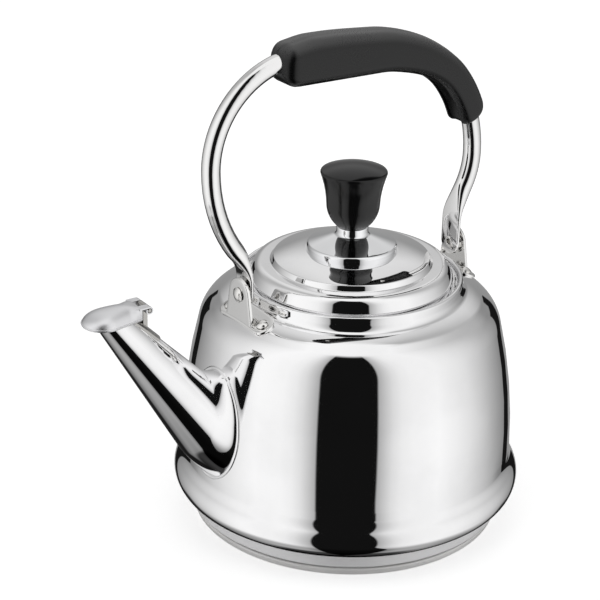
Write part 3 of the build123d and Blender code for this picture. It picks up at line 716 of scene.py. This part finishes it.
cap_rings = []
for share in np.linspace(0, 1, 72):
    reach = cap_length * sin(pi / 2 * share)
    wide, tall = cap_half_width(CAP_REAR_X + reach), cap_height(reach)
    power = 2 / (CAP_SQUARE + CAP_REAR_SQUARE * max(0.0, 1 - reach / CAP_REAR_RUN) ** 2)
    ring = []
    for turn in np.linspace(0, pi, 49):
        y = copysign(abs(cos(turn)) ** power, cos(turn))
        ring.append((-CAP_REAR_X - reach, wide * y, CAP_RIM_Z + tall * abs(sin(turn)) ** power))
    cap_rings.append(ring)
cap_rear = [(-CAP_REAR_X, -CAP_REAR_W), (-CAP_REAR_X, CAP_REAR_W)]
front_arc = [(-x, y) for x, y in arc_points((CAP_FRONT_X, 0), CAP_R, 128)]
cap_outline = even_loop(hull(front_arc + cap_rear), spacing=0.5)
rim_rings = []
for index in range(CAP_BEAD_SIDES):
    turn = 2 * pi * index / CAP_BEAD_SIDES
    drawn = inset_loop(cap_outline, -CAP_BEAD_R * cos(turn))
    rim_rings.append([(x, y, CAP_RIM_Z + CAP_BEAD_Z + CAP_BEAD_R * sin(turn)) for x, y in drawn])
cap_parts = [skin(cap_rings), hoop(rim_rings)]
curl = walk((HINGE_X + KNUCKLE_RUN, HINGE_Z + KNUCKLE_R), 180, ("to_r", HINGE_X),
            ("bend", KNUCKLE_R, KNUCKLE_TURN))
curl_loop = sheet_loop(curl, KNUCKLE_T)
for side in (-1, 1):
    cap_parts.append(skin([[(-x, side * y, z) for x, z in curl_loop] for y in (LUG_W, CAP_REAR_W)]))
fit(make("whistle_cap_pressing", cap_parts, sharp=50), "whistle", "satin_steel", satin, "whistle_cap")


def whistle_plate_spot(x, y, depth):
    """Place of a point of the whistle's flat plate."""
    return x, y, CAP_RIM_Z - depth


whistle_plate = make("whistle_base_plate", [plate(cap_outline, WHISTLE_PLATE_T, WHISTLE_PLATE_EDGE_R,
                                                  whistle_plate_spot)])
cut(whistle_plate, [rod((-MOUTH_X, 0, MOUTH_Z - 2), (0, 0, 1), SOUND_HOLE_R, 4)])
fit(whistle_plate, "whistle", "satin_steel", satin, "whistle_base")
coat(satin, "whistle_cup")


# Bail: one steel tube bent to a lopsided hoop and polished. Both ends are pressed flat and
# punched for the pivots, so the round tube runs out into a strap with soft creases.
TUBE_R = 4.75
ARM_W = 14.0
STRAP_T = ARM_T / 2
FRONT_REACH = ARM_X + 20.2
REAR_REACH = ARM_X + 11.5
FRONT_BENDS = (30.0, 76.0, 49.3)
REAR_BENDS = (68.0, 40.0, 20.0)
REAR_RUN = 11.0
FRONT_WIDE_Z = 204.2
REAR_WIDE_Z = 184.6
BAIL_ROWS = 420
PIVOT_PLAY = 0.08
tube_steel = steel_finish("polished_tube_steel", (0.93, 0.925, 0.92), 0.055, 0.03, wave=4e-6, scratch=0.6e-6)
front_lean = degrees(acos(1 - (FRONT_REACH - ARM_X) / (FRONT_BENDS[0] + FRONT_BENDS[1])))
rear_pair = REAR_BENDS[1] + REAR_BENDS[2]
rear_swan = hypot(rear_pair, REAR_RUN)
rear_lean = degrees(atan2(rear_pair, REAR_RUN) + asin((REAR_REACH - ARM_X - rear_pair) / rear_swan))
front_bend_z = FRONT_WIDE_Z - (FRONT_BENDS[0] + FRONT_BENDS[1]) * sin(radians(front_lean))
rear_bend_z = REAR_WIDE_Z - rear_pair * sin(radians(rear_lean)) - REAR_RUN * cos(radians(rear_lean))
front_top = Vector((-FRONT_REACH + FRONT_BENDS[2], FRONT_WIDE_Z))
rear_top = Vector((REAR_REACH - REAR_BENDS[0], REAR_WIDE_Z))
between = rear_top - front_top
bend_step = REAR_BENDS[0] - FRONT_BENDS[2]
top_tilt = degrees(atan2(between.y, between.x) + asin(bend_step / between.length))
top_run = sqrt(between.length ** 2 - bend_step ** 2)
bail_line = walk((-ARM_X, PIVOT_Z), 90, ("to_z", front_bend_z), ("bend", FRONT_BENDS[0], front_lean),
                 ("bend", FRONT_BENDS[1], -front_lean), ("bend", FRONT_BENDS[2], top_tilt - 90),
                 ("run", top_run), ("bend", REAR_BENDS[0], -90 - top_tilt),
                 ("bend", REAR_BENDS[1], -rear_lean), ("run", REAR_RUN),
                 ("bend", REAR_BENDS[2], rear_lean), ("to_z", PIVOT_Z))
bail_steps = [hypot(b[0] - a[0], b[1] - a[1]) for a, b in zip(bail_line, bail_line[1:])]
bail_reach = np.concatenate([[0], np.cumsum(bail_steps)])
bail_length = bail_reach[-1]
dense = np.linspace(0, bail_length, BAIL_ROWS)
bail_stations = zip(dense, *[np.interp(dense, bail_reach, axis) for axis in zip(*bail_line)])
front_strap = front_bend_z - PIVOT_Z
rear_strap = rear_bend_z - PIVOT_Z
front_flat = (front_strap + 1, front_strap + radians(front_lean) * FRONT_BENDS[0] + 2)
rear_flat = (rear_strap + 1, rear_strap + radians(rear_lean) * REAR_BENDS[2] + REAR_RUN + 1)


def eased(value, low, high):
    """Soft step from 0 to 1 between two limits."""
    share = min(1.0, max(0.0, (value - low) / (high - low)))
    return share * share * (3 - 2 * share)


def tube_ring(x, z, angle, half_t, half_w, count=48):
    """Section across a pressed tube: two flats joined by round edges, by half thickness and width."""
    ring = []
    for index in range(count):
        turn = 2 * pi * (index + 0.5) / count
        u = half_t * cos(turn)
        v = half_t * sin(turn) + copysign(half_w - half_t, sin(turn))
        ring.append((x - sin(angle) * u, v, z + cos(angle) * u))
    return ring


half_w = ARM_W / 2
foot_swings = [radians(swing) for swing in (1, 4, 8, 14, 22, 32, 44, 56, 68, 80)]
front_foot, rear_foot = [], []
for swing in foot_swings:
    wide = half_w * sin(swing)
    thick = min(STRAP_T, wide * 0.98)
    front_foot.append(tube_ring(-ARM_X, PIVOT_Z - half_w * cos(swing), pi / 2, thick, wide))
    rear_foot.append(tube_ring(ARM_X, PIVOT_Z - half_w * cos(swing), -pi / 2, thick, wide))
bail_rings = [*front_foot]
for reach, x, z, angle in bail_stations:
    opened = eased(reach, *front_flat) * eased(bail_length - reach, *rear_flat)
    bail_rings.append(tube_ring(x, z, angle, STRAP_T + (TUBE_R - STRAP_T) * opened,
                                half_w + (TUBE_R - half_w) * opened))
bail_tube = make("bail_tube_bent", [skin(bail_rings + rear_foot[::-1])], sharp=60)
cut(bail_tube, [rod((-2 * ARM_X, 0, PIVOT_Z), (1, 0, 0), PIVOT_R + PIVOT_PLAY, 4 * ARM_X)], sharp=60)
fit(bail_tube, "bail", "handle_steel", tube_steel, "bail_tube")


# Grip: an upper shell and a lower inlay moulded in black heat-proof resin, closed round the tube
# and held by two screws from below. The top is satin, and its edges soften towards the rear.
GRIP_ABOVE = 7.6
GRIP_BELOW = 13.0
GRIP_W = 10.25
GRIP_FRONT_X = FRONT_REACH - 37.0
GRIP_TURN = 72.0
GRIP_CROWN = 0.5
GRIP_ARCH = 2.5
ARCH_RISE = (0, 20)
ARCH_FALL = (26, 78)
GRIP_DIP = 0.9
DIP_FALL = (58, 86)
DIP_RISE = (92, 118)
TAIL_THIN = 3.8
TAIL_THINNING = (72, 118)
TAIL_NARROW = 0.8
TAIL_NARROW_START = 60
FRONT_ROUND = 6.8
FRONT_CORNERS = (6.0, 9.0)
TAIL_CORNERS = (8.0, 4.0)
SIDE_CORNERS = (7.5, 5.0)
TOP_EDGE_R = 7.0
TOP_EDGE_GROWTH = 0.8
TOP_EDGE_START = 40
LOW_EDGE_R = 5.4
RAIL_W = 2.6
INLAY_W = 4.8
INLAY_START = 7.0
INLAY_RECESS = 0.9
SCREW_R = 3.0
SCREW_DEPTH = 2.2
SCREW_PLAY = 0.05
SCREW_REACH = 20.0
REAR_SCREW_SHARE = 0.5
SLOT_LONG = 1.7
SLOT_WIDE = 0.35
SQUARE = ((-1, -1), (1, -1), (1, 1), (-1, 1))
PEBBLE_SCALE = 1600.0
HAZE_SCALE = 35.0
HAZE_SHADE = 1.5


def moulding_finish(name, tone, dull, spread, shine, pebble, top_highlight=0.0):
    """Black moulded resin: tone, mean roughness and spread, shine, depth of its fine pebble, and a
    painted highlight that lightens its upper faces, standing for the light that falls on them from above."""
    material, graph = new_finish(name)
    place = graph.node("TexCoord", output=3)
    speckle = graph.node("TexNoise", inputs={"Vector": place, "Scale": PEBBLE_SCALE, "Detail": 2.0})
    cloud = graph.node("TexNoise", inputs={"Vector": place, "Scale": HAZE_SCALE, "Detail": 3.0})
    colour = cloud.step(0.3, 0.7).blend((*tone, 1), shaded(tone, HAZE_SHADE))
    # Painted highlight: faces turned upwards are made lighter, standing for the light that falls on the top,
    # with a little random spread.
    lift = graph.node("SeparateXYZ", inputs={0: graph.node("TexCoord", output=1)}, output=2)
    top_highlight_mask = lift.step(0.2, 0.95) * (0.8 + 0.4 * cloud)
    colour = top_highlight_mask.blend(colour, (*[part + top_highlight for part in tone], 1))
    rough = dull + spread * (cloud - 0.5) + spread * (speckle - 0.5)
    bump = graph.node("Bump", inputs={"Strength": 1.0, "Distance": 1.0, "Height": speckle * pebble})
    shader = graph.node("BsdfPrincipled", inputs={"Base Color": colour, "Roughness": rough,
                                                  "Specular IOR Level": shine, "Normal": bump})
    graph.node("OutputMaterial", inputs={"Surface": shader})
    return material


# The grip's resin carries a painted highlight on its upper faces.
satin_black = moulding_finish("satin_black_resin", (0.002, 0.002, 0.0022), 0.28, 0.07, 0.42, 3e-6,
                              top_highlight=0.08)
top_ahead = Vector((cos(radians(top_tilt)), sin(radians(top_tilt))))
top_side = Vector((-top_ahead.y, top_ahead.x))
line_start = front_top + top_side * FRONT_BENDS[2]
line_end = line_start + top_ahead * top_run
grip_start = line_start + top_ahead * ((-GRIP_FRONT_X - line_start.x) / top_ahead.x)
grip_run = (line_end - grip_start).length
grip_length = grip_run + radians(GRIP_TURN) * REAR_BENDS[0]


def grip_spot(reach, across, out):
    """Point beside the tube's top: distance from the grip's front, sideways, and outwards."""
    if reach < grip_run:
        side = top_side
        spot = grip_start + top_ahead * reach
    else:
        turn = radians(top_tilt + 90) - (reach - grip_run) / REAR_BENDS[0]
        side = Vector((cos(turn), sin(turn)))
        spot = rear_top + side * REAR_BENDS[0]
    spot = spot + side * out
    return spot.x, across, spot.y


def drawn_in(reach, front_r, tail_r):
    """How far a face is drawn in by the rounding of the grip's two ends."""
    amount = 0.0
    for radius, near in ((front_r, reach), (tail_r, grip_length - reach)):
        if near < radius:
            amount += radius - sqrt(max(0.0, radius ** 2 - (radius - near) ** 2))
    return amount


def grip_low(reach):
    """Height of the grip's underside from the tube's middle: the tail is drawn thinner."""
    return TAIL_THIN * eased(reach, *TAIL_THINNING) - GRIP_BELOW


def inlay_half_width(reach):
    """Half width of the channel for the inlay, which narrows with the grip's tail."""
    return min(INLAY_W, GRIP_W - RAIL_W - drawn_in(reach, 0, SIDE_CORNERS[1]))


def shell_ring(reach, roof):
    """Section of the upper shell: round corners, a crowned top, and the channel up to its roof."""
    narrowing = TAIL_NARROW * eased(reach, TAIL_NARROW_START, grip_length)
    wide = GRIP_W - narrowing - drawn_in(reach, *SIDE_CORNERS)
    arch = GRIP_ARCH * eased(reach, *ARCH_RISE) * (1 - eased(reach, *ARCH_FALL))
    arch -= GRIP_DIP * eased(reach, *DIP_FALL) * (1 - eased(reach, *DIP_RISE))
    top = GRIP_ABOVE + arch - drawn_in(reach, FRONT_CORNERS[0], TAIL_CORNERS[0])
    low = grip_low(reach) + drawn_in(reach, FRONT_CORNERS[1], TAIL_CORNERS[1])
    rounding = TOP_EDGE_R + TOP_EDGE_GROWTH * eased(reach, TOP_EDGE_START, grip_length)
    soft = min(rounding, wide - 0.3, top - low - 0.4)
    inner = min(inlay_half_width(reach), wide - 0.4)
    under = min(LOW_EDGE_R, top - low - soft, wide - inner)
    right = [(inner, low)]
    for turn in np.linspace(-pi / 2, 0, 9):
        right.append((wide - under + under * cos(turn), low + under + under * sin(turn)))
    for turn in np.linspace(0, pi / 2, 11):
        right.append((wide - soft + soft * cos(turn), top - soft + soft * sin(turn)))
    crown = [(share * (wide - soft), top + GRIP_CROWN * (1 - share ** 2)) for share in (0.75, 0.5, 0.25)]
    left = [(-y, out) for y, out in (right + crown)[::-1]]
    channel = [(-inner, max(low, roof)), (inner, max(low, roof))]
    ridge = [(0, top + GRIP_CROWN)]
    return [grip_spot(reach, y, out) for y, out in right + crown + ridge + left + channel]


front_end = [FRONT_ROUND * (1 - cos(turn)) for turn in np.linspace(0, pi / 2, 14)]
grip_tail = [grip_length - TAIL_CORNERS[0] * (1 - cos(turn)) for turn in np.linspace(pi / 2, 0, 16)]
grip_middle = [*np.linspace(INLAY_START + 0.4, grip_length - 8.5, 70)]
shell_rings = [shell_ring(reach, -GRIP_BELOW) for reach in [*front_end, INLAY_START]]
shell_rings += [shell_ring(reach, 0.0) for reach in [INLAY_START, *grip_middle, *grip_tail]]
grip_upper = make("grip_upper_shell", [skin(shell_rings)], sharp=50)
fit(grip_upper, "bail", "black_moulding", satin_black, "grip_upper")


def inlay_ring(reach):
    """Section of the lower inlay, which fills the channel up to a shallow recess."""
    wide = inlay_half_width(reach) - 0.1
    low = grip_low(reach) + INLAY_RECESS + drawn_in(reach, 0, TAIL_CORNERS[1])
    half = [(wide, 0), (wide, low + 0.6), (wide - 0.18, low + 0.18), (wide - 0.6, low)]
    return [grip_spot(reach, y, out) for y, out in half + [(-y, out) for y, out in half[::-1]]]


inlay_rings = [inlay_ring(reach) for reach in [INLAY_START + 0.1, *grip_middle, *grip_tail]]
grip_lower = make("grip_lower_inlay", [skin(inlay_rings)], sharp=50)
screw_spots = [(grip_start + top_ahead * SCREW_REACH, top_side, -grip_low(SCREW_REACH))]
rear_turn = radians(90 + top_tilt - REAR_SCREW_SHARE * GRIP_TURN)
rear_out = Vector((cos(rear_turn), sin(rear_turn)))
rear_deep = -grip_low(grip_run + REAR_SCREW_SHARE * radians(GRIP_TURN) * REAR_BENDS[0])
screw_spots.append((rear_top + rear_out * REAR_BENDS[0], rear_out, rear_deep))
screw_head = [(0, SCREW_DEPTH), (2.9, SCREW_DEPTH), (SCREW_R, 2.0), (SCREW_R, 0.5), (2.7, 0.15),
              (2.0, 0.02), (0, 0.02)]
sideways = Vector((0, 1, 0))
screws, sinks, slots = [], [], []
for spot, out, deep in screw_spots:
    axis = Vector((out.x, 0, out.y))
    head = Vector((spot.x, 0, spot.y)) - axis * (deep - INLAY_RECESS)
    lengthways = axis.cross(sideways)
    sinks.append(rod(head - axis * SCREW_DEPTH, axis, SCREW_R + SCREW_PLAY, 2 * SCREW_DEPTH))
    screws.append(stud(screw_head, head, axis))
    for long_way, short_way in ((lengthways, sideways), (sideways, lengthways)):
        corners = [head + axis * down + long_way * SLOT_LONG * a + short_way * SLOT_WIDE * b
                   for down in (-1, 1.2) for a, b in SQUARE]
        slots.append(skin([corners[:4], corners[4:]]))
cut(grip_lower, sinks, sharp=50)
fit(grip_lower, "bail", "black_moulding", satin_black, "grip_lower")
grip_screws = make("grip_screw_heads", screws)
for slot in slots:
    cut(grip_screws, [slot])
fit(grip_screws, "bail", "fastener_steel", rivet_steel, "grip_screws")


# Lid: a cover spun from sheet with a stepped, slightly domed top, mirror polished like the body.
# A skirt welded inside it drops into the neck and keeps it centred.
LID_R = COLLAR_R - 5.2
LID_TOP_Z = LEDGE_Z + 9.7
LID_FOOT_INSET = 1.3
LID_FOOT_RUN = 2.2
LID_FOOT_BEND_R = 1.0
LID_FOOT_FLARE = 55.0
LID_BAND_LEAN = 22.0
LID_EDGE_R = 5.0
LID_STEP_R = LID_R - 11.3
LID_STEP_H = 2.5
LID_STEP_BEND_R = 0.9
LID_STEP_LEAN = 64.0
LID_DOME_SLOPE = 20.0
LID_DOME_R = 61.0
LID_DOME_TURN = 13.0
LID_SEAT_R = 24.2
LID_SEAT_BEND_R = 2.0
SCREW_HOLE_R = 2.1
SKIRT_R = MOUTH_R - 0.5
SKIRT_BEND_R = 1.6
SKIRT_ELBOW = 45
SKIRT_LOW_Z = LEDGE_Z - 8.6
SKIRT_FLANGE_W = 2.4
cover_foot = (LID_R - LID_FOOT_INSET, LEDGE_Z)
band_steps = [("run", LID_FOOT_RUN), ("bend", LID_FOOT_BEND_R, 90 - LID_FOOT_FLARE + LID_BAND_LEAN),
              ("to_z", LID_TOP_Z - LID_EDGE_R * (1 - sin(radians(LID_BAND_LEAN)))),
              ("bend", LID_EDGE_R, 90 - LID_BAND_LEAN)]
top_steps = [("to_r", LID_STEP_R + LID_STEP_BEND_R), ("bend", LID_STEP_BEND_R, -LID_STEP_LEAN),
             ("to_z", LID_TOP_Z + LID_STEP_H), ("bend", LID_STEP_BEND_R, LID_STEP_LEAN - LID_DOME_SLOPE),
             *[("bend", LID_DOME_R, LID_DOME_TURN / 4)] * 4, ("to_r", LID_SEAT_R),
             ("bend", LID_SEAT_BEND_R, LID_DOME_SLOPE - LID_DOME_TURN)]
cover_line = walk(cover_foot, LID_FOOT_FLARE, *band_steps, *top_steps, ("to_r", SCREW_HOLE_R))
lid_cover = make("lid_cover_spinning", [turned(sheet_loop(cover_line, SHEET))])
fit(lid_cover, "lid", "polished_steel", polished, "lid_cover")
flat_edge_r = walk(cover_foot, LID_FOOT_FLARE, *band_steps)[-1][0]
skirt_tangent = SKIRT_BEND_R * tan(radians(SKIRT_ELBOW / 2))
skirt_corner_r = flat_edge_r + skirt_tangent
elbow_z = LID_TOP_Z - SHEET - (SKIRT_R - skirt_corner_r)
skirt_line = walk((SKIRT_R, SKIRT_LOW_Z), 90, ("to_z", elbow_z - skirt_tangent),
                  ("bend", SKIRT_BEND_R, SKIRT_ELBOW),
                  ("to_r", skirt_corner_r + skirt_tangent * sin(radians(SKIRT_ELBOW))),
                  ("bend", SKIRT_BEND_R, SKIRT_ELBOW), ("run", SKIRT_FLANGE_W))
lid_skirt = make("lid_skirt_ring", [turned(sheet_loop(skirt_line, SHEET))])
fit(lid_skirt, "lid", "polished_steel", polished, "lid_skirt")


# Knob plate: a small pressed rosette with a rounded rim and a short neck, chromed bright.
# It spreads the knob's load on the lid.
PLATE_R = 23.3
PLATE_T = 1.0
PLATE_SLOPE = 20.0
PLATE_NECK_R = 8.3
PLATE_TOP_Z = 158.8
PLATE_NECK_BEND_R = 2.2
PLATE_RIM_H = 2.3
PLATE_RIM_R = 1.7
PLATE_TOP_R = PLATE_T + 0.02
plate_z = walk(cover_foot, LID_FOOT_FLARE, *band_steps, *top_steps)[-1][1]
plate_line = walk((PLATE_R, plate_z), 90, ("run", PLATE_RIM_H), ("bend", PLATE_RIM_R, 90 - PLATE_SLOPE),
                  ("to_r", PLATE_NECK_R + PLATE_NECK_BEND_R * (1 - sin(radians(PLATE_SLOPE)))),
                  ("bend", PLATE_NECK_BEND_R, PLATE_SLOPE - 90), ("to_z", PLATE_TOP_Z - PLATE_TOP_R),
                  ("bend", PLATE_TOP_R, 90), ("to_r", SCREW_HOLE_R))
chrome = steel_finish("bright_chrome", (0.93, 0.935, 0.945), 0.025, 0.012, wave=2e-6)
knob_plate = make("knob_plate_rosette", [turned(sheet_loop(plate_line, PLATE_T))])
fit(knob_plate, "lid", "chromed_plate", chrome, "knob_plate")


# Knob: a tulip-shaped moulding in glossy black resin with a low domed top.
# It is drawn down on the plate by a screw from inside the lid.
KNOB_FOOT_R = 8.0
KNOB_FOOT_LEAN = 39.2
KNOB_CUP_R = 15.65
KNOB_CUP_TURN = 48.6
KNOB_FLARE_R = 53.6
KNOB_FLARE_TURN = 15.6
KNOB_BAND = 2.7
KNOB_EDGE_R = 1.2
KNOB_DOME_SLOPE = 22.0
gloss_black = moulding_finish("gloss_black_resin", (0.004, 0.004, 0.0042), 0.12, 0.04, 0.4, 1e-6)
knob_band_lean = KNOB_FOOT_LEAN + KNOB_CUP_TURN - KNOB_FLARE_TURN
knob_side = walk((KNOB_FOOT_R, plate_line[-1][1]), KNOB_FOOT_LEAN, ("bend", KNOB_CUP_R, KNOB_CUP_TURN),
                 ("bend", KNOB_FLARE_R, -KNOB_FLARE_TURN), ("run", KNOB_BAND),
                 ("bend", KNOB_EDGE_R, 180 - KNOB_DOME_SLOPE - knob_band_lean))
knob_dome_r = knob_side[-1][0] / sin(radians(KNOB_DOME_SLOPE))
knob_top = walk(knob_side[-1][:2], 180 - KNOB_DOME_SLOPE, *[("bend", knob_dome_r, KNOB_DOME_SLOPE / 6)] * 6)
knob_loop = [(0, knob_side[0][1])] + [(r, z) for r, z, a in knob_side + knob_top[1:-1]]
knob = make("knob_moulding", [turned(knob_loop + [(0, knob_top[-1][1])], 192)])
fit(knob, "lid", "black_moulding", gloss_black, "knob")
coat(rivet_steel, "knob_screw", "knob_washer")


# Camera: it stands where the photograph was taken from, which a fit to the kettle's round rims gave.
# Lengths are in metres, CAMERA_TURN in degrees, tilts in radians, and values named PX in pixels.
CAMERA_TURN = 36.7
CAMERA_BACK = 0.920402
CAMERA_HEIGHT = 0.523530
PITCH = 0.412973
YAW = -0.039112
ROLL = 0.016186
FOCAL_PX = 1929.256
CENTRE_PX = (281.12, 291.97)
IMAGE_PX = 600
SENSOR = 36
ahead = Vector((sin(YAW) * cos(PITCH), cos(YAW) * cos(PITCH), -sin(PITCH)))
level = Vector((cos(YAW), -sin(YAW), 0))
above = level.cross(ahead)
right = level * cos(ROLL) + above * sin(ROLL)
up = above * cos(ROLL) - level * sin(ROLL)
look = Matrix((right, up, -ahead)).transposed().to_4x4()
camera = bpy.data.objects.new("camera", bpy.data.cameras.new("camera"))
camera.matrix_world = (Matrix.Rotation(-radians(CAMERA_TURN), 4, "Z")
                       @ Matrix.Translation((0, -CAMERA_BACK, CAMERA_HEIGHT)) @ look)
camera.data.sensor_width = SENSOR
camera.data.lens = FOCAL_PX / IMAGE_PX * SENSOR
camera.data.shift_x = (IMAGE_PX / 2 - CENTRE_PX[0]) / IMAGE_PX
camera.data.shift_y = (CENTRE_PX[1] - IMAGE_PX / 2) / IMAGE_PX
bpy.context.scene.collection.objects.link(camera)
bpy.context.scene.camera = camera
bpy.context.scene.view_settings.view_transform = "Standard"


# Studio: a white tent with a dark slit at the camera's side and two dark flags behind the kettle,
# seen only in the polish. Rises and drops are in radians from level, and turns in shares of half a
# circle from the camera's side. Each pair of values is where a soft edge starts and ends.
SLIT_TURN = 0.02
SLIT_BEND = (-0.45, -0.9)
SLIT_DRIFT = 0.12
SLIT_GROWTH = 0.035
TENT_SHADES = [(0, 0.006), (0.111, 0.006), (0.116, 0.44), (0.145, 0.62), (0.172, 0.78), (0.205, 0.9),
               (0.25, 0.96), (0.36, 0.99), (0.44, 0.9), (0.51, 0.79), (0.58, 0.65), (0.66, 0.47),
               (0.71, 0.37), (0.78, 0.26), (1.0, 0.34)]
ROOF_RISE = (1.18, 1.31)
ROOF_SHADE = 0.98
BACK_TURN = (0.6, 0.95)
BACK_RISE = (0.2, 0.55)
BACK_SHADE = 0.45
GROUND_DROP = (-0.6, -0.95)
GROUND_DARK = 0.58
# Painted shadow: straight below the kettle, and low behind it, the tent is darkened to stand for the kettle's
# shadow on the paper, which the polish looks through to the tent.
BASE_DROP = (-1.12, -1.3)
BASE_SHADOW_DARK = 0.9
LOW_BACK_TURN = (0.68, 0.76)
LOW_BACK_DROP = (-0.45, -0.6)
LOW_BACK_SHADOW_DARK = 0.92
FLAG_TURNS = ((0.785, 0.79), (0.865, 0.86))
FLAG_ENDS = ((0.12, 0.1), (-0.62, -0.6))
FLAG_DARK = 0.97
facing = Vector((-sin(radians(CAMERA_TURN)), -cos(radians(CAMERA_TURN))))
world = bpy.data.worlds.new("studio")
world.use_nodes = True
world.node_tree.nodes.clear()
graph = Value(world.node_tree)
direction = graph.node("TexCoord", output=0)
split = [graph.node("SeparateXYZ", inputs={0: direction}, output=axis) for axis in range(3)]
front = split[0] * facing.x + split[1] * facing.y
side = split[1] * facing.x - split[0] * facing.y
rise = graph.math("ARCSINE", split[2])
slit_bend = rise.step(*SLIT_BEND)
slit_away = abs(graph.math("ARCTAN2", side, front) - SLIT_TURN - SLIT_DRIFT * slit_bend)
turn = slit_away / pi - SLIT_GROWTH * slit_bend
walls = graph.node("ValToRGB", {"stops": TENT_SHADES}, {"Fac": turn})
roof = rise.step(*ROOF_RISE)
back = turn.step(*BACK_TURN) * rise.step(*BACK_RISE)
ground = rise.step(*GROUND_DROP)
# Painted shadow of the kettle on the paper, straight below it and low behind it.
base_shadow = rise.step(*BASE_DROP)
low_back_shadow = turn.step(*LOW_BACK_TURN) * rise.step(*LOW_BACK_DROP)
flag_band = turn.step(*FLAG_TURNS[0]) * turn.step(*FLAG_TURNS[1])
flags = flag_band * rise.step(*FLAG_ENDS[0]) * rise.step(*FLAG_ENDS[1])
screens = walls * (1 - GROUND_DARK * ground) * (1 - FLAG_DARK * flags)
screens = screens * (1 - BASE_SHADOW_DARK * base_shadow) * (1 - LOW_BACK_SHADOW_DARK * low_back_shadow) + BACK_SHADE * back
tent = graph.node("Mix", {"data_type": "FLOAT"}, {0: roof, 2: screens, 3: ROOF_SHADE})
seen = graph.node("LightPath", output=0)
brightness = graph.node("Mix", {"data_type": "FLOAT"}, {0: seen, 2: tent, 3: 1.0})
shade = graph.node("Background", inputs={"Color": brightness, "Strength": 1.0})
graph.node("OutputWorld", inputs={"Surface": shade})
bpy.context.scene.world = world


# Floor: a wide sheet of pale paper just under the base, which keeps the kettle's shadow.
# The polish looks through it, because the lower half of the tent stands for it there.
FLOOR_HALF = 6000
FLOOR_Z = -0.05
FLOOR_GLOW = (0.55, 0.55, 0.55, 1)
FLOOR_TINT = (0.8, 0.8, 0.8, 1)
pale, graph = new_finish("pale_floor")
seen = graph.node("LightPath", output=0)
mirrored = graph.node("LightPath", output=3)
glow = seen.blend((0, 0, 0, 1), FLOOR_GLOW)
paper = graph.node("BsdfPrincipled", inputs={"Base Color": FLOOR_TINT, "Roughness": 0.9,
                                             "Emission Color": glow, "Emission Strength": 1.0})
clear = graph.node("BsdfTransparent")
surface = graph.node("MixShader", inputs={0: mirrored, 1: paper, 2: clear})
graph.node("OutputMaterial", inputs={"Surface": surface})
floor_corners = [(FLOOR_HALF * a, FLOOR_HALF * b, FLOOR_Z) for a, b in SQUARE]
floor = make("floor", [(floor_corners, [(0, 1, 2, 3)])])
floor.data.materials.append(pale)
